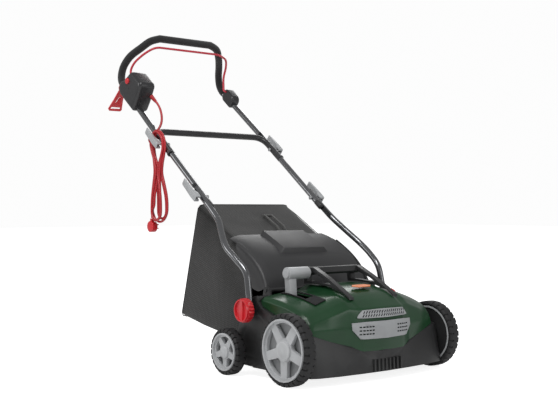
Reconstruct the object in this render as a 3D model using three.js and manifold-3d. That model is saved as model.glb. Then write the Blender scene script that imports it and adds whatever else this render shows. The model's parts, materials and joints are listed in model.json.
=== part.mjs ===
// Walk-behind electric lawn scarifier with a grass bag and a folding handle.
// Millimetres, +Z up. X runs across the machine, -Y is its front and +Y its rear.
// Every piece is laid out from the point on the ground below the front axle; at the end the
// whole machine is moved so that the origin is the middle of its footprint, on the ground.
import * as THREE from 'three';
import { mergeVertices } from 'three/addons/utils/BufferGeometryUtils.js';
import Module from 'manifold-3d';

const wasm = await Module();
wasm.setup();

// ---------------------------------------------------------------- driving dimensions
const GAP = 0.3;                       // clearance between touching pieces
const DEG = Math.PI / 180;
const SIDES = [['left', 1], ['right', -1]];

const FRONT = { y: 0, z: 100, radius: 100, rim: 86, width: 41, outer: 309.5 };
const REAR = { y: 259, z: 68, radius: 68, rim: 55, width: 38, outer: 318 };
const AXLE_R = 6;

const DECK = { half: 261, wall: 5, low: 26, topSlope: 0.332, topStartY: -40, topStartZ: 137, rear: 190 };
const CRANK = { y: 60, z: 125, armWidth: 12 };
const REEL = { y: 120, z: 76, radius: 60, core: 16, x: [-212, 188], blades: 16 };
const MOTOR = { y: 20, z: 192, radius: 33.5, x: [-62, 75] };
const BELT = { x: [200, 212], motorR: 11, reelR: 36, thick: 3.5 };

const TUBE_R = 10;
const SLOPE = 38.1 * DEG;              // rise of the handle towards the rear
const ALONG = new THREE.Vector3(0, Math.cos(SLOPE), Math.sin(SLOPE));
const NORMAL = new THREE.Vector3(0, -Math.sin(SLOPE), Math.cos(SLOPE));
const LOWER_CLAMP = new THREE.Vector3(0, 482, 521.5);
const UPPER_CLAMP = new THREE.Vector3(0, 706, 697);
const LEG = { outer: 234, inner: 230, split: 232 };
const KNOB = { y: 188, z: 193, radius: 35, x: [283.5, 307] };
const FLAP_HINGE = { y: 186, z: 246 };
const BAIL_PIVOT = { run: 346, lift: 24 };
const CAM_PIVOT_X = 259;
const CORD_R = 4;
const BUTTON = { y: 911, z: 927 };

// ---------------------------------------------------------------- solids
const AXIS_X = new THREE.Vector3(1, 0, 0);
const AXIS_Y = new THREE.Vector3(0, 1, 0);
const AXIS_Z = new THREE.Vector3(0, 0, 1);

function solid(geometry) {
  const bare = geometry.clone();
  bare.deleteAttribute('normal');
  bare.deleteAttribute('uv');
  const merged = mergeVertices(bare, 1e-3);
  return new wasm.Manifold(new wasm.Mesh({
    numProp: 3,
    vertProperties: merged.attributes.position.array,
    triVerts: Uint32Array.from(merged.index.array),
  }));
}

function geometryOf(shape) {
  const mesh = shape.getMesh();
  const geometry = new THREE.BufferGeometry();
  geometry.setAttribute('position', new THREE.BufferAttribute(new Float32Array(mesh.vertProperties), 3));
  geometry.setIndex(Array.from(mesh.triVerts));
  geometry.computeVertexNormals();
  return geometry;
}

const join = (...shapes) => shapes.reduce((a, b) => a.add(b));
const cut = (shape, ...tools) => tools.reduce((a, b) => a.subtract(b), shape);

function block(x, y, z) {
  const geometry = new THREE.BoxGeometry(x[1] - x[0], y[1] - y[0], z[1] - z[0]);
  geometry.translate((x[0] + x[1]) / 2, (y[0] + y[1]) / 2, (z[0] + z[1]) / 2);
  return solid(geometry);
}

// A span on one side of the machine: side +1 is +X and side -1 is -X.
const span = (side, a, b) => (side > 0 ? [a, b] : [-b, -a]);

function rod(radius, from, to, sides = 16, endRadius = radius) {
  const way = to.clone().sub(from);
  const geometry = new THREE.CylinderGeometry(endRadius, radius, way.length(), sides, 1, false, Math.PI / sides);
  geometry.applyQuaternion(new THREE.Quaternion().setFromUnitVectors(AXIS_Y, way.clone().normalize()));
  const middle = from.clone().add(to).multiplyScalar(0.5);
  geometry.translate(middle.x, middle.y, middle.z);
  return solid(geometry);
}

// A round bar along X. The facets are turned so that one lies flat underneath.
function rodX(radius, x, y, z, sides = 16) {
  const geometry = new THREE.CylinderGeometry(radius, radius, x[1] - x[0], sides, 1, false, Math.PI / sides);
  geometry.rotateZ(Math.PI / 2);
  geometry.translate((x[0] + x[1]) / 2, y, z);
  return solid(geometry);
}

function shapeOf(points, holes = []) {
  const shape = new THREE.Shape(points.map(([a, b]) => new THREE.Vector2(a, b)));
  for (const hole of holes) {
    shape.holes.push(new THREE.Path(hole.map(([a, b]) => new THREE.Vector2(a, b))));
  }
  return shape;
}

function extrude(points, depth, matrix, holes = []) {
  const geometry = new THREE.ExtrudeGeometry(shapeOf(points, holes), { depth, bevelEnabled: false });
  geometry.applyMatrix4(matrix);
  return solid(geometry);
}

// An outline in Y and Z carried along X.
function prismX(points, x, holes = []) {
  const matrix = new THREE.Matrix4().makeBasis(AXIS_Y, AXIS_Z, AXIS_X).setPosition(x[0], 0, 0);
  return extrude(points, x[1] - x[0], matrix, holes);
}

function circle(radius, sides, y = 0, z = 0, turn = 0.5) {
  const points = [];
  for (let i = 0; i < sides; i += 1) {
    const angle = (2 * Math.PI * (i + turn)) / sides;
    points.push([y + radius * Math.sin(angle), z - radius * Math.cos(angle)]);
  }
  return points;
}

// Rings of equal length joined into one skin, with flat triangulated ends seen along `flat`.
function loft(rings, flat) {
  const count = rings[0].length;
  const vertices = rings.flat();
  const faces = [];
  for (let i = 0; i + 1 < rings.length; i += 1) {
    for (let k = 0; k < count; k += 1) {
      const next = (k + 1) % count;
      const [a, b, c, d] = [i * count + k, i * count + next, (i + 1) * count + next, (i + 1) * count + k];
      faces.push([a, b, c], [a, c, d]);
    }
  }
  const caps = [[rings[0], 0, -1], [rings[rings.length - 1], (rings.length - 1) * count, 1]];
  for (const [ring, start, facing] of caps) {
    const contour = ring.map(flat);
    const wanted = THREE.ShapeUtils.isClockWise(contour) ? -facing : facing;
    for (const [a, b, c] of THREE.ShapeUtils.triangulateShape(contour, [])) {
      const turn = THREE.ShapeUtils.isClockWise([contour[a], contour[b], contour[c]]) ? -1 : 1;
      faces.push(turn === wanted ? [start + a, start + b, start + c] : [start + a, start + c, start + b]);
    }
  }
  return closedSkin(vertices, faces);
}

function closedSkin(vertices, faces) {
  let volume = 0;
  for (const [a, b, c] of faces) {
    volume += vertices[a].dot(new THREE.Vector3().crossVectors(vertices[b], vertices[c]));
  }
  const outward = volume > 0 ? faces : faces.map(([a, b, c]) => [a, c, b]);
  const geometry = new THREE.BufferGeometry().setFromPoints(vertices);
  geometry.setIndex(outward.flat());
  return solid(geometry);
}

const alongX = (v) => new THREE.Vector2(v.y, v.z);
const alongY = (v) => new THREE.Vector2(v.x, v.z);

// A skin through YZ outlines that stand at several places across the machine.
function loftX(stations) {
  return loft(stations.map(([x, points]) => points.map(([y, z]) => new THREE.Vector3(x, y, z))), alongX);
}

// The same for a symmetric piece: stations are given from the middle outwards.
function loftBothSides(stations) {
  const left = stations.filter(([x]) => x > 0).map(([x, points]) => [-x, points]).reverse();
  return loftX([...left, ...stations]);
}

// A path of straight runs whose corners are rounded off.
function roundedPath(points, reach) {
  const path = new THREE.CurvePath();
  let last = points[0];
  for (let i = 1; i + 1 < points.length; i += 1) {
    const back = points[i - 1].clone().sub(points[i]);
    const on = points[i + 1].clone().sub(points[i]);
    const size = Math.min(reach, 0.48 * back.length(), 0.48 * on.length());
    const enter = points[i].clone().add(back.setLength(size));
    const leave = points[i].clone().add(on.setLength(size));
    path.add(new THREE.LineCurve3(last, enter));
    path.add(new THREE.QuadraticBezierCurve3(enter, points[i], leave));
    last = leave;
  }
  path.add(new THREE.LineCurve3(last, points[points.length - 1]));
  return path;
}

function tube(path, radius, steps, sides = 10) {
  const section = shapeOf(circle(radius, sides));
  return solid(new THREE.ExtrudeGeometry(section, { steps, extrudePath: path, bevelEnabled: false }));
}

const v3 = (x, y, z) => new THREE.Vector3(x, y, z);
const mirrored = (points, side) => points.map((p) => v3(side * p.x, p.y, p.z));
const onHandle = (clamp, side, x, run, lift = 0) => clamp.clone()
  .addScaledVector(ALONG, run).addScaledVector(NORMAL, lift).setX(side * x);

// Points given along and square to the handle at a clamp, as Y and Z.
const besideHandle = (clamp, points) => points.map(([run, lift]) => [
  clamp.y + run * ALONG.y + lift * NORMAL.y, clamp.z + run * ALONG.z + lift * NORMAL.z]);

// ---------------------------------------------------------------- the machine
const machine = new THREE.Group();
const cordNodes = new Set();

function add(name, shape, colour, roughness = 0.5, metalness = 0) {
  const material = new THREE.MeshStandardMaterial({ color: colour, roughness, metalness });
  const mesh = new THREE.Mesh(geometryOf(shape), material);
  mesh.name = name;
  machine.add(mesh);
  return mesh;
}

const COLOUR = {
  deck: 0x333435, cover: 0x2c5138, grille: 0x9a9da0, flap: 0x454648, fabric: 0x343533, steel: 0x8f9396,
  tube: 0x55585c, black: 0x1b1c1d, red: 0xc3202a, rim: 0xb4b6b8, tyre: 0x262728, lever: 0xb9bbbd, badge: 0xc98a4a,
};

// ---------------------------------------------------------------- cover and deck
// Half outlines of the cover at distances from the middle, from the rear edge over the top to the
// front edge. Each outline is closed underneath along the deck's top line.
const deckTop = (y) => DECK.topStartZ + (y - DECK.topStartY) * DECK.topSlope;
const COVER_REAR = 165;
const COVER_HALF = [
  [0, [[165, 261], [119, 265], [51, 262], [-14, 247], [-46, 227], [-80, 203], [-92, 150], [-90, 84]]],
  [80, [[165, 258], [119, 262], [51, 259], [-13, 243], [-42, 225], [-73, 203], [-83, 150], [-81, 86]]],
  [92, [[165, 252], [119, 256], [51, 253], [-12, 239], [-40, 223], [-69, 203], [-79, 150], [-77, 89]]],
  [118, [[165, 243], [119, 245], [51, 243], [-14, 238], [-40, 224], [-62, 205], [-70, 150], [-68, 99]]],
  [180, [[165, 239], [119, 239], [51, 231], [-9, 217], [-32, 204], [-52, 186], [-60, 150], [-56, 118]]],
  [238, [[165, 231], [119, 228], [51, 215], [-4, 197], [-21, 185], [-36, 167], [-43, 152], [-45, 138]]],
  [249, [[165, 221], [119, 216], [51, 205], [2, 190], [-12, 179], [-26, 163], [-33, 150], [-36, 139.5]]],
];

function coverOutline(points, inset) {
  const shrink = [[-1, -1], [0, -1], [0, -1], [0, -1], [0.6, -0.8], [0.8, -0.6], [1, 0], [1, 0]];
  const upper = points.map(([y, z], i) => [y + inset * shrink[i][0], z + inset * shrink[i][1]]);
  const drop = inset > 0 ? 12 : 0;
  const [frontY, frontZ] = upper[upper.length - 1];
  return [...upper.slice(0, -1), [frontY, frontZ - 0.8 * drop],
    [DECK.topStartY, deckTop(DECK.topStartY) - drop], [COVER_REAR - inset, deckTop(COVER_REAR) - drop]];
}

const coverBlock = () => loftBothSides(COVER_HALF.map(([x, points]) => [x, coverOutline(points, 0)]));

function coverShell() {
  const reach = (x) => Math.min(x, 245);
  const inner = loftBothSides(COVER_HALF.map(([x, points]) => [reach(x), coverOutline(points, 4)]));
  const leverSlot = block([-188, -152], [-4, 142], [185, 275]);
  return cut(coverBlock(), inner, leverSlot);
}

// Y of the cover's front face at a height, for the panels that are clipped onto it.
function coverFaceY(x, z) {
  const at = Math.abs(x);
  const face = (points) => {
    const [[y1, z1], [y2, z2], [y3, z3]] = points.slice(5);
    return z > z2 ? y2 + ((y1 - y2) * (z - z2)) / (z1 - z2) : y3 + ((y2 - y3) * (z - z3)) / (z2 - z3);
  };
  for (let i = 0; i + 1 < COVER_HALF.length; i += 1) {
    const [[x0, near], [x1, far]] = [COVER_HALF[i], COVER_HALF[i + 1]];
    if (at <= x1) return face(near) + ((face(far) - face(near)) * (at - x0)) / (x1 - x0);
  }
  return face(COVER_HALF[COVER_HALF.length - 1][1]);
}

// A panel on the front face: each station gives its lowest, middle and highest point.
function facePanel(stations, thick) {
  const stand = 1.2;
  return loftBothSides(stations.map(([x, heights]) => {
    const back = heights.map((z) => [coverFaceY(x, z) - stand, z]);
    const front = heights.map((z) => [coverFaceY(x, z) - stand - thick, z]).reverse();
    return [x, [...back, ...front]];
  }));
}

const DECK_HALF = [
  [0, [[-95, 26], [-90, 83.6]]],
  [90, [[-92, 26], [-79, 88]]],
  [180, [[-85, 26], [-57, 117.6]]],
  [240, [[-74, 26], [-46, 137]]],
  [261, [[-64, 26], [-40, 137]]],
];

function deckOutline([[lowY, lowZ], [topY, topZ]], inset) {
  const y = DECK.topStartY;
  const rearTop = deckTop(COVER_REAR);
  const under = inset > 0 ? 10 : 0;
  return [
    [lowY + inset, lowZ - under], [topY + inset, topZ - inset], [y + 0.1, deckTop(y) - GAP - inset],
    [COVER_REAR + 3, rearTop - GAP - inset], [COVER_REAR + 3 + inset / 2, 232 - 2 * inset],
    [DECK.rear - 4 - inset, 232 - 2 * inset], [DECK.rear - inset, 205], [DECK.rear - inset, DECK.low - under],
  ];
}

function deckSidePlate(side) {
  const outline = [[120, 26], [262, 30], [284, 44], [290, 68], [282, 92], [222, 208], [208, 226], [176, 226],
    [150, 195]];
  return prismX(outline, span(side, 246, DECK.half));
}

function flapLug(side) {
  const outline = [[168, 228], [204, 212], [198, 248], [192, 256], [180, 256], [170, 246]];
  return prismX(outline, span(side, 207, 215));
}

function frontRib(i) {
  const x = -52 + i * 15;
  return prismX([[-97.5, 27], [-97, 62], [-88, 62], [-88, 27]], [x, x + 5]);
}

// The room that the cover needs, grown sideways and shifted by a few clearances in Y and Z.
const coverRoom = ([dy, dz]) => coverBlock().scale([1.0016, 1, 1]).translate([0, dy * GAP, dz * GAP]);

function deckHousing() {
  const outer = loftBothSides(DECK_HALF.map(([x, points]) => [x, deckOutline(points, 0)]));
  const reach = (x) => Math.min(x, 243);
  const inner = loftBothSides(DECK_HALF.map(([x, points]) => [reach(x), deckOutline(points, DECK.wall)]));
  let deck = cut(outer, inner);
  for (const [, side] of SIDES) {
    deck = join(deck, deckSidePlate(side), flapLug(side));
  }
  for (let i = 0; i < 8; i += 1) {
    deck = join(deck, frontRib(i));
  }
  const wall = [-270, 270];
  return cut(
    deck,
    ...[[-2, -2], [0, -1], [-1, -0.7], [0, 0], [1, 0], [0, 1]].map(coverRoom),
    block([-232, 232], [150, 230], [58, 186]),
    block([195, 217], [-4, 160], [95, 225]),
    block([-188, -152], [40, 150], [120, 225]),
    rodX(AXLE_R + 0.5, wall, CRANK.y, CRANK.z, 12),
    rodX(AXLE_R + GAP, wall, REAR.y, REAR.z, 12),
    rodX(4.4, wall, KNOB.y, KNOB.z, 12),
    rodX(4.4, wall, FLAP_HINGE.y, FLAP_HINGE.z, 12),
  );
}

function carryHandle() {
  const arm = [[-42, 227.5], [-14, 246], [51, 261.5], [119, 264.5], [152, 262.5], [156, 286], [146, 312], [112, 312],
    [50, 284], [-8, 253], [-40, 234]];
  const bar = [[112, 296], [118, 290], [144, 290], [150, 296], [148, 308], [142, 312], [116, 312]];
  const eye = [[34, 266], [112, 271], [138, 271], [140, 286], [112, 296], [56, 278]];
  const arms = SIDES.map(([, side]) => prismX(arm, span(side, 79, 97), [eye]));
  return join(...arms, prismX(bar, [-90, 90]));
}

function badgePlate() {
  const across = 38;
  const outline = [[-across, 0], [-24, -13], [24, -13], [across, 0], [24, 13], [-24, 13]];
  const geometry = new THREE.ExtrudeGeometry(shapeOf(outline), { depth: 2, bevelEnabled: false });
  geometry.rotateX(Math.atan2(10, 65));
  geometry.translate(0, 12, 257);
  return solid(geometry);
}

add('deck_housing', deckHousing(), COLOUR.deck, 0.6);
add('motor_cover', coverShell(), COLOUR.cover, 0.3);
add('grille_lower', facePanel([[0, [119, 150, 168]], [80, [120, 150, 168]], [92, [121, 150, 167]],
  [116, [147, 150, 166]]], 3), COLOUR.grille, 0.4);
add('grille_upper', facePanel([[0, [177, 190, 202]], [80, [178, 190, 200]], [92, [178.5, 184, 189]],
  [98, [179, 180, 181]]], 3), COLOUR.grille, 0.4);
add('carry_handle', carryHandle(), COLOUR.flap, 0.5);
add('badge_plate', badgePlate(), COLOUR.badge, 0.4);

// ---------------------------------------------------------------- drive
function motorHousing() {
  const foot = [[-12, 148.5], [52, 169.8], [46, 190], [-6, 190]];
  const body = join(rodX(MOTOR.radius, MOTOR.x, MOTOR.y, MOTOR.z, 24), prismX(foot, [-45, 55]));
  return cut(body, rodX(5.4, [-80, 90], MOTOR.y, MOTOR.z, 12));
}

function motorRotor() {
  const shaft = rodX(5, [-82, 199], MOTOR.y, MOTOR.z, 12);
  const fan = rodX(30, [-80, -66], MOTOR.y, MOTOR.z, 16);
  return join(shaft, fan);
}

// Runs round both pulleys: an arc about each, from one tangent to the other.
function beltLoop(motorR, reelR) {
  const wayY = REEL.y - MOTOR.y;
  const wayZ = REEL.z - MOTOR.z;
  const aim = Math.atan2(wayZ, wayY);
  const lean = Math.acos((reelR - motorR) / Math.hypot(wayY, wayZ));
  const arc = (y, z, radius, from, to, count) => Array.from({ length: count + 1 }, (_, i) => {
    const angle = from + ((to - from) * i) / count;
    return [y + radius * Math.cos(angle), z + radius * Math.sin(angle)];
  });
  const back = aim + Math.PI;
  return [
    ...arc(MOTOR.y, MOTOR.z, motorR, back - lean, back + lean, 6),
    ...arc(REEL.y, REEL.z, reelR, back + lean, back + 2 * Math.PI - lean, 14),
  ];
}

function driveBelt() {
  const inside = beltLoop(BELT.motorR + 0.6, BELT.reelR + 0.6);
  const outside = beltLoop(BELT.motorR + 0.6 + BELT.thick, BELT.reelR + 0.6 + BELT.thick);
  return prismX(outside, [BELT.x[0] + 1, BELT.x[1] - 1], [inside]);
}

function tineReel() {
  const core = rodX(REEL.core, REEL.x, REEL.y, REEL.z, 16);
  const shaft = rodX(8, [-240, 240], REEL.y, REEL.z, 12);
  let reel = join(core, shaft);
  const pitch = (REEL.x[1] - REEL.x[0] - 24) / (REEL.blades - 1);
  for (let i = 0; i < REEL.blades; i += 1) {
    const turn = (i * 60 + 15) * DEG;
    const blade = [[-REEL.radius, 3], [-REEL.radius + 10, -9], [REEL.radius - 2, -8], [REEL.radius, -3],
      [REEL.radius - 10, 9], [-REEL.radius + 2, 8]];
    const turned = blade.map(([a, b]) => [
      REEL.y + a * Math.cos(turn) - b * Math.sin(turn), REEL.z + a * Math.sin(turn) + b * Math.cos(turn)]);
    const x = REEL.x[0] + 10 + i * pitch;
    reel = join(reel, prismX(turned, [x, x + 3]));
  }
  return reel;
}

function bearing(side) {
  const housing = join(
    rodX(22, span(side, 224, DECK.half - 18 - GAP), REEL.y, REEL.z, 16),
    block(span(side, 236, DECK.half - 18 - GAP), [REEL.y - 34, REEL.y + 34], [REEL.z - 14, REEL.z + 14]),
  );
  return cut(housing, rodX(8.4, [-260, 260], REEL.y, REEL.z, 12));
}

add('motor_housing', motorHousing(), COLOUR.steel, 0.5, 0.6);
add('motor_rotor', motorRotor(), COLOUR.steel, 0.4, 0.7);
add('motor_pulley', cut(rodX(BELT.motorR, BELT.x, MOTOR.y, MOTOR.z, 16),
  rodX(5.3, [190, 199.4], MOTOR.y, MOTOR.z, 12)), COLOUR.black);
add('drive_belt', driveBelt(), COLOUR.black, 0.8);
add('tine_reel', tineReel(), COLOUR.steel, 0.4, 0.8);
add('reel_pulley', cut(rodX(BELT.reelR, BELT.x, REEL.y, REEL.z, 24),
  rodX(8.3, [190, 220], REEL.y, REEL.z, 12)), COLOUR.black);
for (const [name, side] of SIDES) {
  add(`reel_bearing_${name}`, bearing(side), COLOUR.black);
}

// ---------------------------------------------------------------- running gear
function crankAxle() {
  const length = Math.hypot(CRANK.y - FRONT.y, CRANK.z - FRONT.z);
  const way = [(FRONT.y - CRANK.y) / length, (FRONT.z - CRANK.z) / length];
  const w = CRANK.armWidth;
  const corner = (end, along, across) => [
    end[0] + way[0] * along - way[1] * across, end[1] + way[1] * along + way[0] * across];
  const [pivot, stub] = [[CRANK.y, CRANK.z], [FRONT.y, FRONT.z]];
  const arm = [corner(pivot, -w, -6), corner(pivot, -6, -w), corner(stub, 6, -w), corner(stub, w, -6),
    corner(stub, w, 6), corner(stub, 6, w), corner(pivot, -6, w), corner(pivot, -w, 6)];
  let crank = rodX(AXLE_R, [-267, 267], CRANK.y, CRANK.z, 12);
  for (const [, side] of SIDES) {
    crank = join(crank, prismX(arm, span(side, 262, 267)), rodX(AXLE_R, span(side, 262, 300), FRONT.y, FRONT.z, 12));
  }
  return crank;
}

function depthLever() {
  const arm = [[48, 114], [72, 114], [78, 130], [134, 212], [139, 282], [115, 282], [110, 216], [54, 140], [46, 130]];
  const stem = prismX(arm, [-184, -160]);
  const grip = join(rodX(18, [-186, -107], 128, 297, 16), rodX(14, [-190, -103], 128, 297, 16));
  return cut(join(stem, grip), rodX(AXLE_R + GAP, [-200, -150], CRANK.y, CRANK.z, 12));
}

// Wheels: a ribbed five-spoke hub inside a ring of rubber.
function tyre(wheel, side) {
  const sides = 36;
  const outerR = wheel.radius / Math.cos(Math.PI / sides);
  const innerR = wheel.rim + 0.5;
  const [x0, x1] = [wheel.outer - wheel.width, wheel.outer - 1.5];
  const profile = [[innerR, x0 + 2], [outerR - 5, x0], [outerR, x0 + 6], [outerR, x1 - 6], [outerR - 5, x1],
    [innerR, x1 - 3], [innerR, x0 + 2]];
  const geometry = new THREE.LatheGeometry(profile.map(([r, x]) => new THREE.Vector2(r, x)), sides, Math.PI / sides);
  geometry.rotateZ(side > 0 ? -Math.PI / 2 : Math.PI / 2);
  geometry.translate(0, wheel.y, wheel.z);
  return solid(geometry);
}

function wheelHub(wheel, side) {
  const [rimIn, boss] = [wheel.rim - 11, wheel.rim * 0.34];
  const spokes = 5;
  const holes = [];
  for (let i = 0; i < spokes; i += 1) {
    const middle = (2 * Math.PI * (i + 0.5)) / spokes;
    const at = (radius, half) => [wheel.y + radius * Math.sin(middle + half), wheel.z - radius * Math.cos(middle + half)];
    holes.push([at(boss + 4, -0.2), at(boss + 4, 0.2), at(rimIn, 0.46), at(rimIn, 0.23), at(rimIn, 0),
      at(rimIn, -0.23), at(rimIn, -0.46)]);
  }
  const disc = prismX(circle(wheel.rim - 2, 30, wheel.y, wheel.z), span(side, wheel.outer - 19, wheel.outer - 7), holes);
  const [x0, x1] = [wheel.outer - wheel.width + 2, wheel.outer];
  const rim = prismX(circle(wheel.rim, 30, wheel.y, wheel.z), span(side, x0, x1),
    [circle(wheel.rim - 5, 30, wheel.y, wheel.z)]);
  const centre = rodX(boss, span(side, x0, wheel.outer - 3), wheel.y, wheel.z, 20);
  return cut(join(disc, rim, centre), rodX(AXLE_R + 0.4, span(side, 200, wheel.outer - 8), wheel.y, wheel.z, 12));
}

add('crank_axle', crankAxle(), COLOUR.steel, 0.4, 0.8);
add('depth_lever', depthLever(), COLOUR.lever, 0.45);
add('rear_axle', rodX(AXLE_R, [-309, 309], REAR.y, REAR.z, 12), COLOUR.steel, 0.4, 0.8);
for (const [end, wheel] of [['front', FRONT], ['rear', REAR]]) {
  for (const [name, side] of SIDES) {
    add(`${end}_tyre_${name}`, tyre(wheel, side), COLOUR.tyre, 0.85);
    add(`${end}_hub_${name}`, wheelHub(wheel, side), COLOUR.rim, 0.4);
  }
}

// ---------------------------------------------------------------- rear flap and bag
const FLAP_PROFILE = [[376, 403], [340, 391], [293, 369], [246, 338], [215, 306], [196, 277], [188, 256]];
const FLAP_INSIDE = [[186, 246], [199, 266], [218, 300], [249, 332], [295, 363.5], [342, 386], [377, 398]];

function rearFlap() {
  const section = [...FLAP_PROFILE, ...FLAP_INSIDE];
  const lowered = section.map(([y, z], i) => (i < 7 ? [y + 4, z - 9] : [y + 3, z - 7]));
  const shell = loftBothSides([[172, section], [203, lowered]]);
  const raised = [[261, 346], [263, 363], [269, 367], [366, 415], [372, 413], [374, 401]];
  const flush = [[262, 346], [263, 348], [270, 352], [360, 396], [368, 398], [374, 400]];
  const panel = loftBothSides([[81, raised], [96, flush]]);
  const barrel = rodX(6, [-204, 204], FLAP_HINGE.y, FLAP_HINGE.z, 12);
  const pins = rodX(4, [-217, 217], FLAP_HINGE.y, FLAP_HINGE.z, 12);
  return join(shell, panel, barrel, pins);
}

// A bag section: half widths at the bottom and top, and the line it stands on.
function bagRing(low, high, lowHalf, highHalf, inset = 0) {
  const bend = 26;
  const at = (u, half) => {
    const y = low[0] + (high[0] - low[0]) * u;
    const z = low[1] + (high[1] - low[1]) * u;
    return v3(half, y, z);
  };
  const tall = Math.hypot(high[0] - low[0], high[1] - low[1]);
  const [a, b] = [inset / tall, 1 - inset / tall];
  const c = bend / tall;
  const side = [at(a, lowHalf - inset - bend / 2), at(a + c / 2, lowHalf - inset),
    at(b - c, highHalf - inset + 2), at(b - c / 3, highHalf - inset - bend / 3), at(b, highHalf - inset - bend)];
  return [...side, ...side.map((p) => v3(-p.x, p.y, p.z)).reverse()];
}

const BAG = { mouthLow: [226, 84], mouthHigh: [343, 372], rearLow: [592, 137], rearHigh: [570, 500] };

function bagBody() {
  const outer = loft([bagRing(BAG.mouthLow, BAG.mouthHigh, 238, 192),
    bagRing(BAG.rearLow, BAG.rearHigh, 242, 190)], alongY);
  const inner = loft([bagRing([222, 84], [339, 372], 238, 192, 4), bagRing([588, 137], [566, 500], 242, 190, 4)], alongY);
  return cut(outer, inner);
}

function bagFrame() {
  const shift = (point, dy) => [point[0] + dy, point[1]];
  const ring = (dy, inset) => bagRing(shift(BAG.mouthLow, dy), shift(BAG.mouthHigh, dy), 238, 192, inset);
  const outer = loft([ring(-7, 0), ring(-0.4, 0)], alongY);
  return cut(outer, loft([ring(-9, 12), ring(2, 12)], alongY));
}

// A webbing loop standing on the bag's sloping top: two legs joined at the rear.
function bagHandle() {
  const rise = (BAG.rearHigh[1] - BAG.mouthHigh[1]) / (BAG.rearHigh[0] - BAG.mouthHigh[0]);
  const top = (y) => BAG.mouthHigh[1] + (y - BAG.mouthHigh[0]) * rise;
  const outline = [[408, top(408) + 1], [408, top(408) + 4], [424, top(424) + 12], [488, top(488) + 12],
    [500, top(500) + 4], [500, top(500) + 1], [490, top(490) + 1], [484, top(484) + 8], [428, top(428) + 8],
    [418, top(418) + 1]];
  return cut(prismX(outline, [16, 52]), block([24, 44], [400, 486], [400, 520]));
}

add('rear_flap', rearFlap(), COLOUR.flap, 0.5);
add('bag_body', bagBody(), COLOUR.fabric, 0.95);
add('bag_frame', bagFrame(), COLOUR.black, 0.6);
add('bag_handle', bagHandle(), COLOUR.black, 0.9);

// ---------------------------------------------------------------- handle
// Route of the free stretch of the cord, from the strain relief to the top of its hank.
const CORD_ROUTE = [v3(-188, 829, 853), v3(-186, 821, 845), v3(-183, 811, 829), v3(-182, 803, 810),
  v3(-184, 797, 790), v3(-191, 792, 771), v3(-203, 789, 754), v3(-219, 787, 741), v3(-235, 781, 731),
  v3(-246, 775, 723.5), v3(-251.6, 770, 718.6), v3(-252, 764, 717)];

// The strain relief is rooted in the box and hands the cord on at its narrow end.
const RELIEF = { root: 38, tip: 0.3, rootR: 8.5, tipR: 5.2 };

function lowerTube(side) {
  const top = onHandle(LOWER_CLAMP, 1, LEG.outer, 38);
  const below = onHandle(LOWER_CLAMP, 1, LEG.outer + 1, -50);
  const path = new THREE.CurvePath();
  const bend = mirrored([v3(272, 193, 235), v3(270, 211, 299), v3(275, 252, 336), v3(275, 300, 370),
    v3(258, 346, 409), v3(239, 392, 450.5), below], side);
  path.add(new THREE.LineCurve3(v3(side * 272, 187, 177), bend[0]));
  path.add(new THREE.CatmullRomCurve3(bend));
  path.add(new THREE.LineCurve3(bend[bend.length - 1], v3(side * top.x, top.y, top.z)));
  const upperHalf = block(span(side, 150, LEG.split + GAP / 2), [395, 560], [430, 620]);
  return cut(tube(path, TUBE_R, 44), upperHalf, rodX(4.4, [-300, 300], KNOB.y, KNOB.z, 12), clampBore(LOWER_CLAMP));
}

const clampBore = (clamp) => rodX(3.9, [-300, 300], clamp.y, clamp.z, 10);
const boltOf = (clamp, side) => join(
  rodX(3.5, span(side, 214, 263), clamp.y, clamp.z, 10),
  rodX(6.5, span(side, 213, 217), clamp.y, clamp.z, 12),
);

function knob(side) {
  const teeth = 22;
  const outline = [];
  for (let i = 0; i < teeth * 2; i += 1) {
    const angle = (Math.PI * i) / teeth;
    const radius = i % 2 ? KNOB.radius : KNOB.radius - 2.5;
    outline.push([KNOB.y + radius * Math.cos(angle), KNOB.z + radius * Math.sin(angle)]);
  }
  const disc = prismX(outline, span(side, KNOB.x[0], KNOB.x[1] - 6));
  const rim = cut(prismX(circle(KNOB.radius - 3, 24, KNOB.y, KNOB.z), span(side, KNOB.x[1] - 7, KNOB.x[1])),
    rodX(KNOB.radius - 6, span(side, KNOB.x[1] - 6, KNOB.x[1] + 5), KNOB.y, KNOB.z, 24));
  const bar = prismX([[-5, -30], [5, -30], [8, 0], [5, 30], [-5, 30], [-8, 0]]
    .map(([a, b]) => [KNOB.y + a, KNOB.z + b]), span(side, KNOB.x[1] - 7, KNOB.x[1] - 1));
  const stud = rodX(4, span(side, 247, KNOB.x[0] + 1), KNOB.y, KNOB.z, 12);
  return join(disc, rim, bar, stud);
}

function legEnd(clamp, side, from, to, radius) {
  return rod(radius, onHandle(clamp, side, LEG.inner, from), onHandle(clamp, side, LEG.inner, to), 12);
}

// Everything of the middle section stays inboard of the split between the two tubes of a clamp.
const outboard = (side, clamp, reach = 110) => block(
  span(side, LEG.split - GAP / 2, 300), [clamp.y - reach, clamp.y + reach], [clamp.z - reach, clamp.z + reach]);

const HALF_LAP = 60;

function midLeg(side) {
  const start = onHandle(LOWER_CLAMP, side, LEG.inner, -22);
  const end = onHandle(UPPER_CLAMP, side, LEG.inner, -58);
  const room = [[-HALF_LAP, -20], [HALF_LAP, -20], [HALF_LAP, 20], [-HALF_LAP, 20]];
  const lap = prismX(besideHandle(LOWER_CLAMP, room), span(side, LEG.split - GAP / 2, 260));
  return cut(rod(TUBE_R, start, end, 12), lap, clampBore(LOWER_CLAMP));
}

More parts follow.
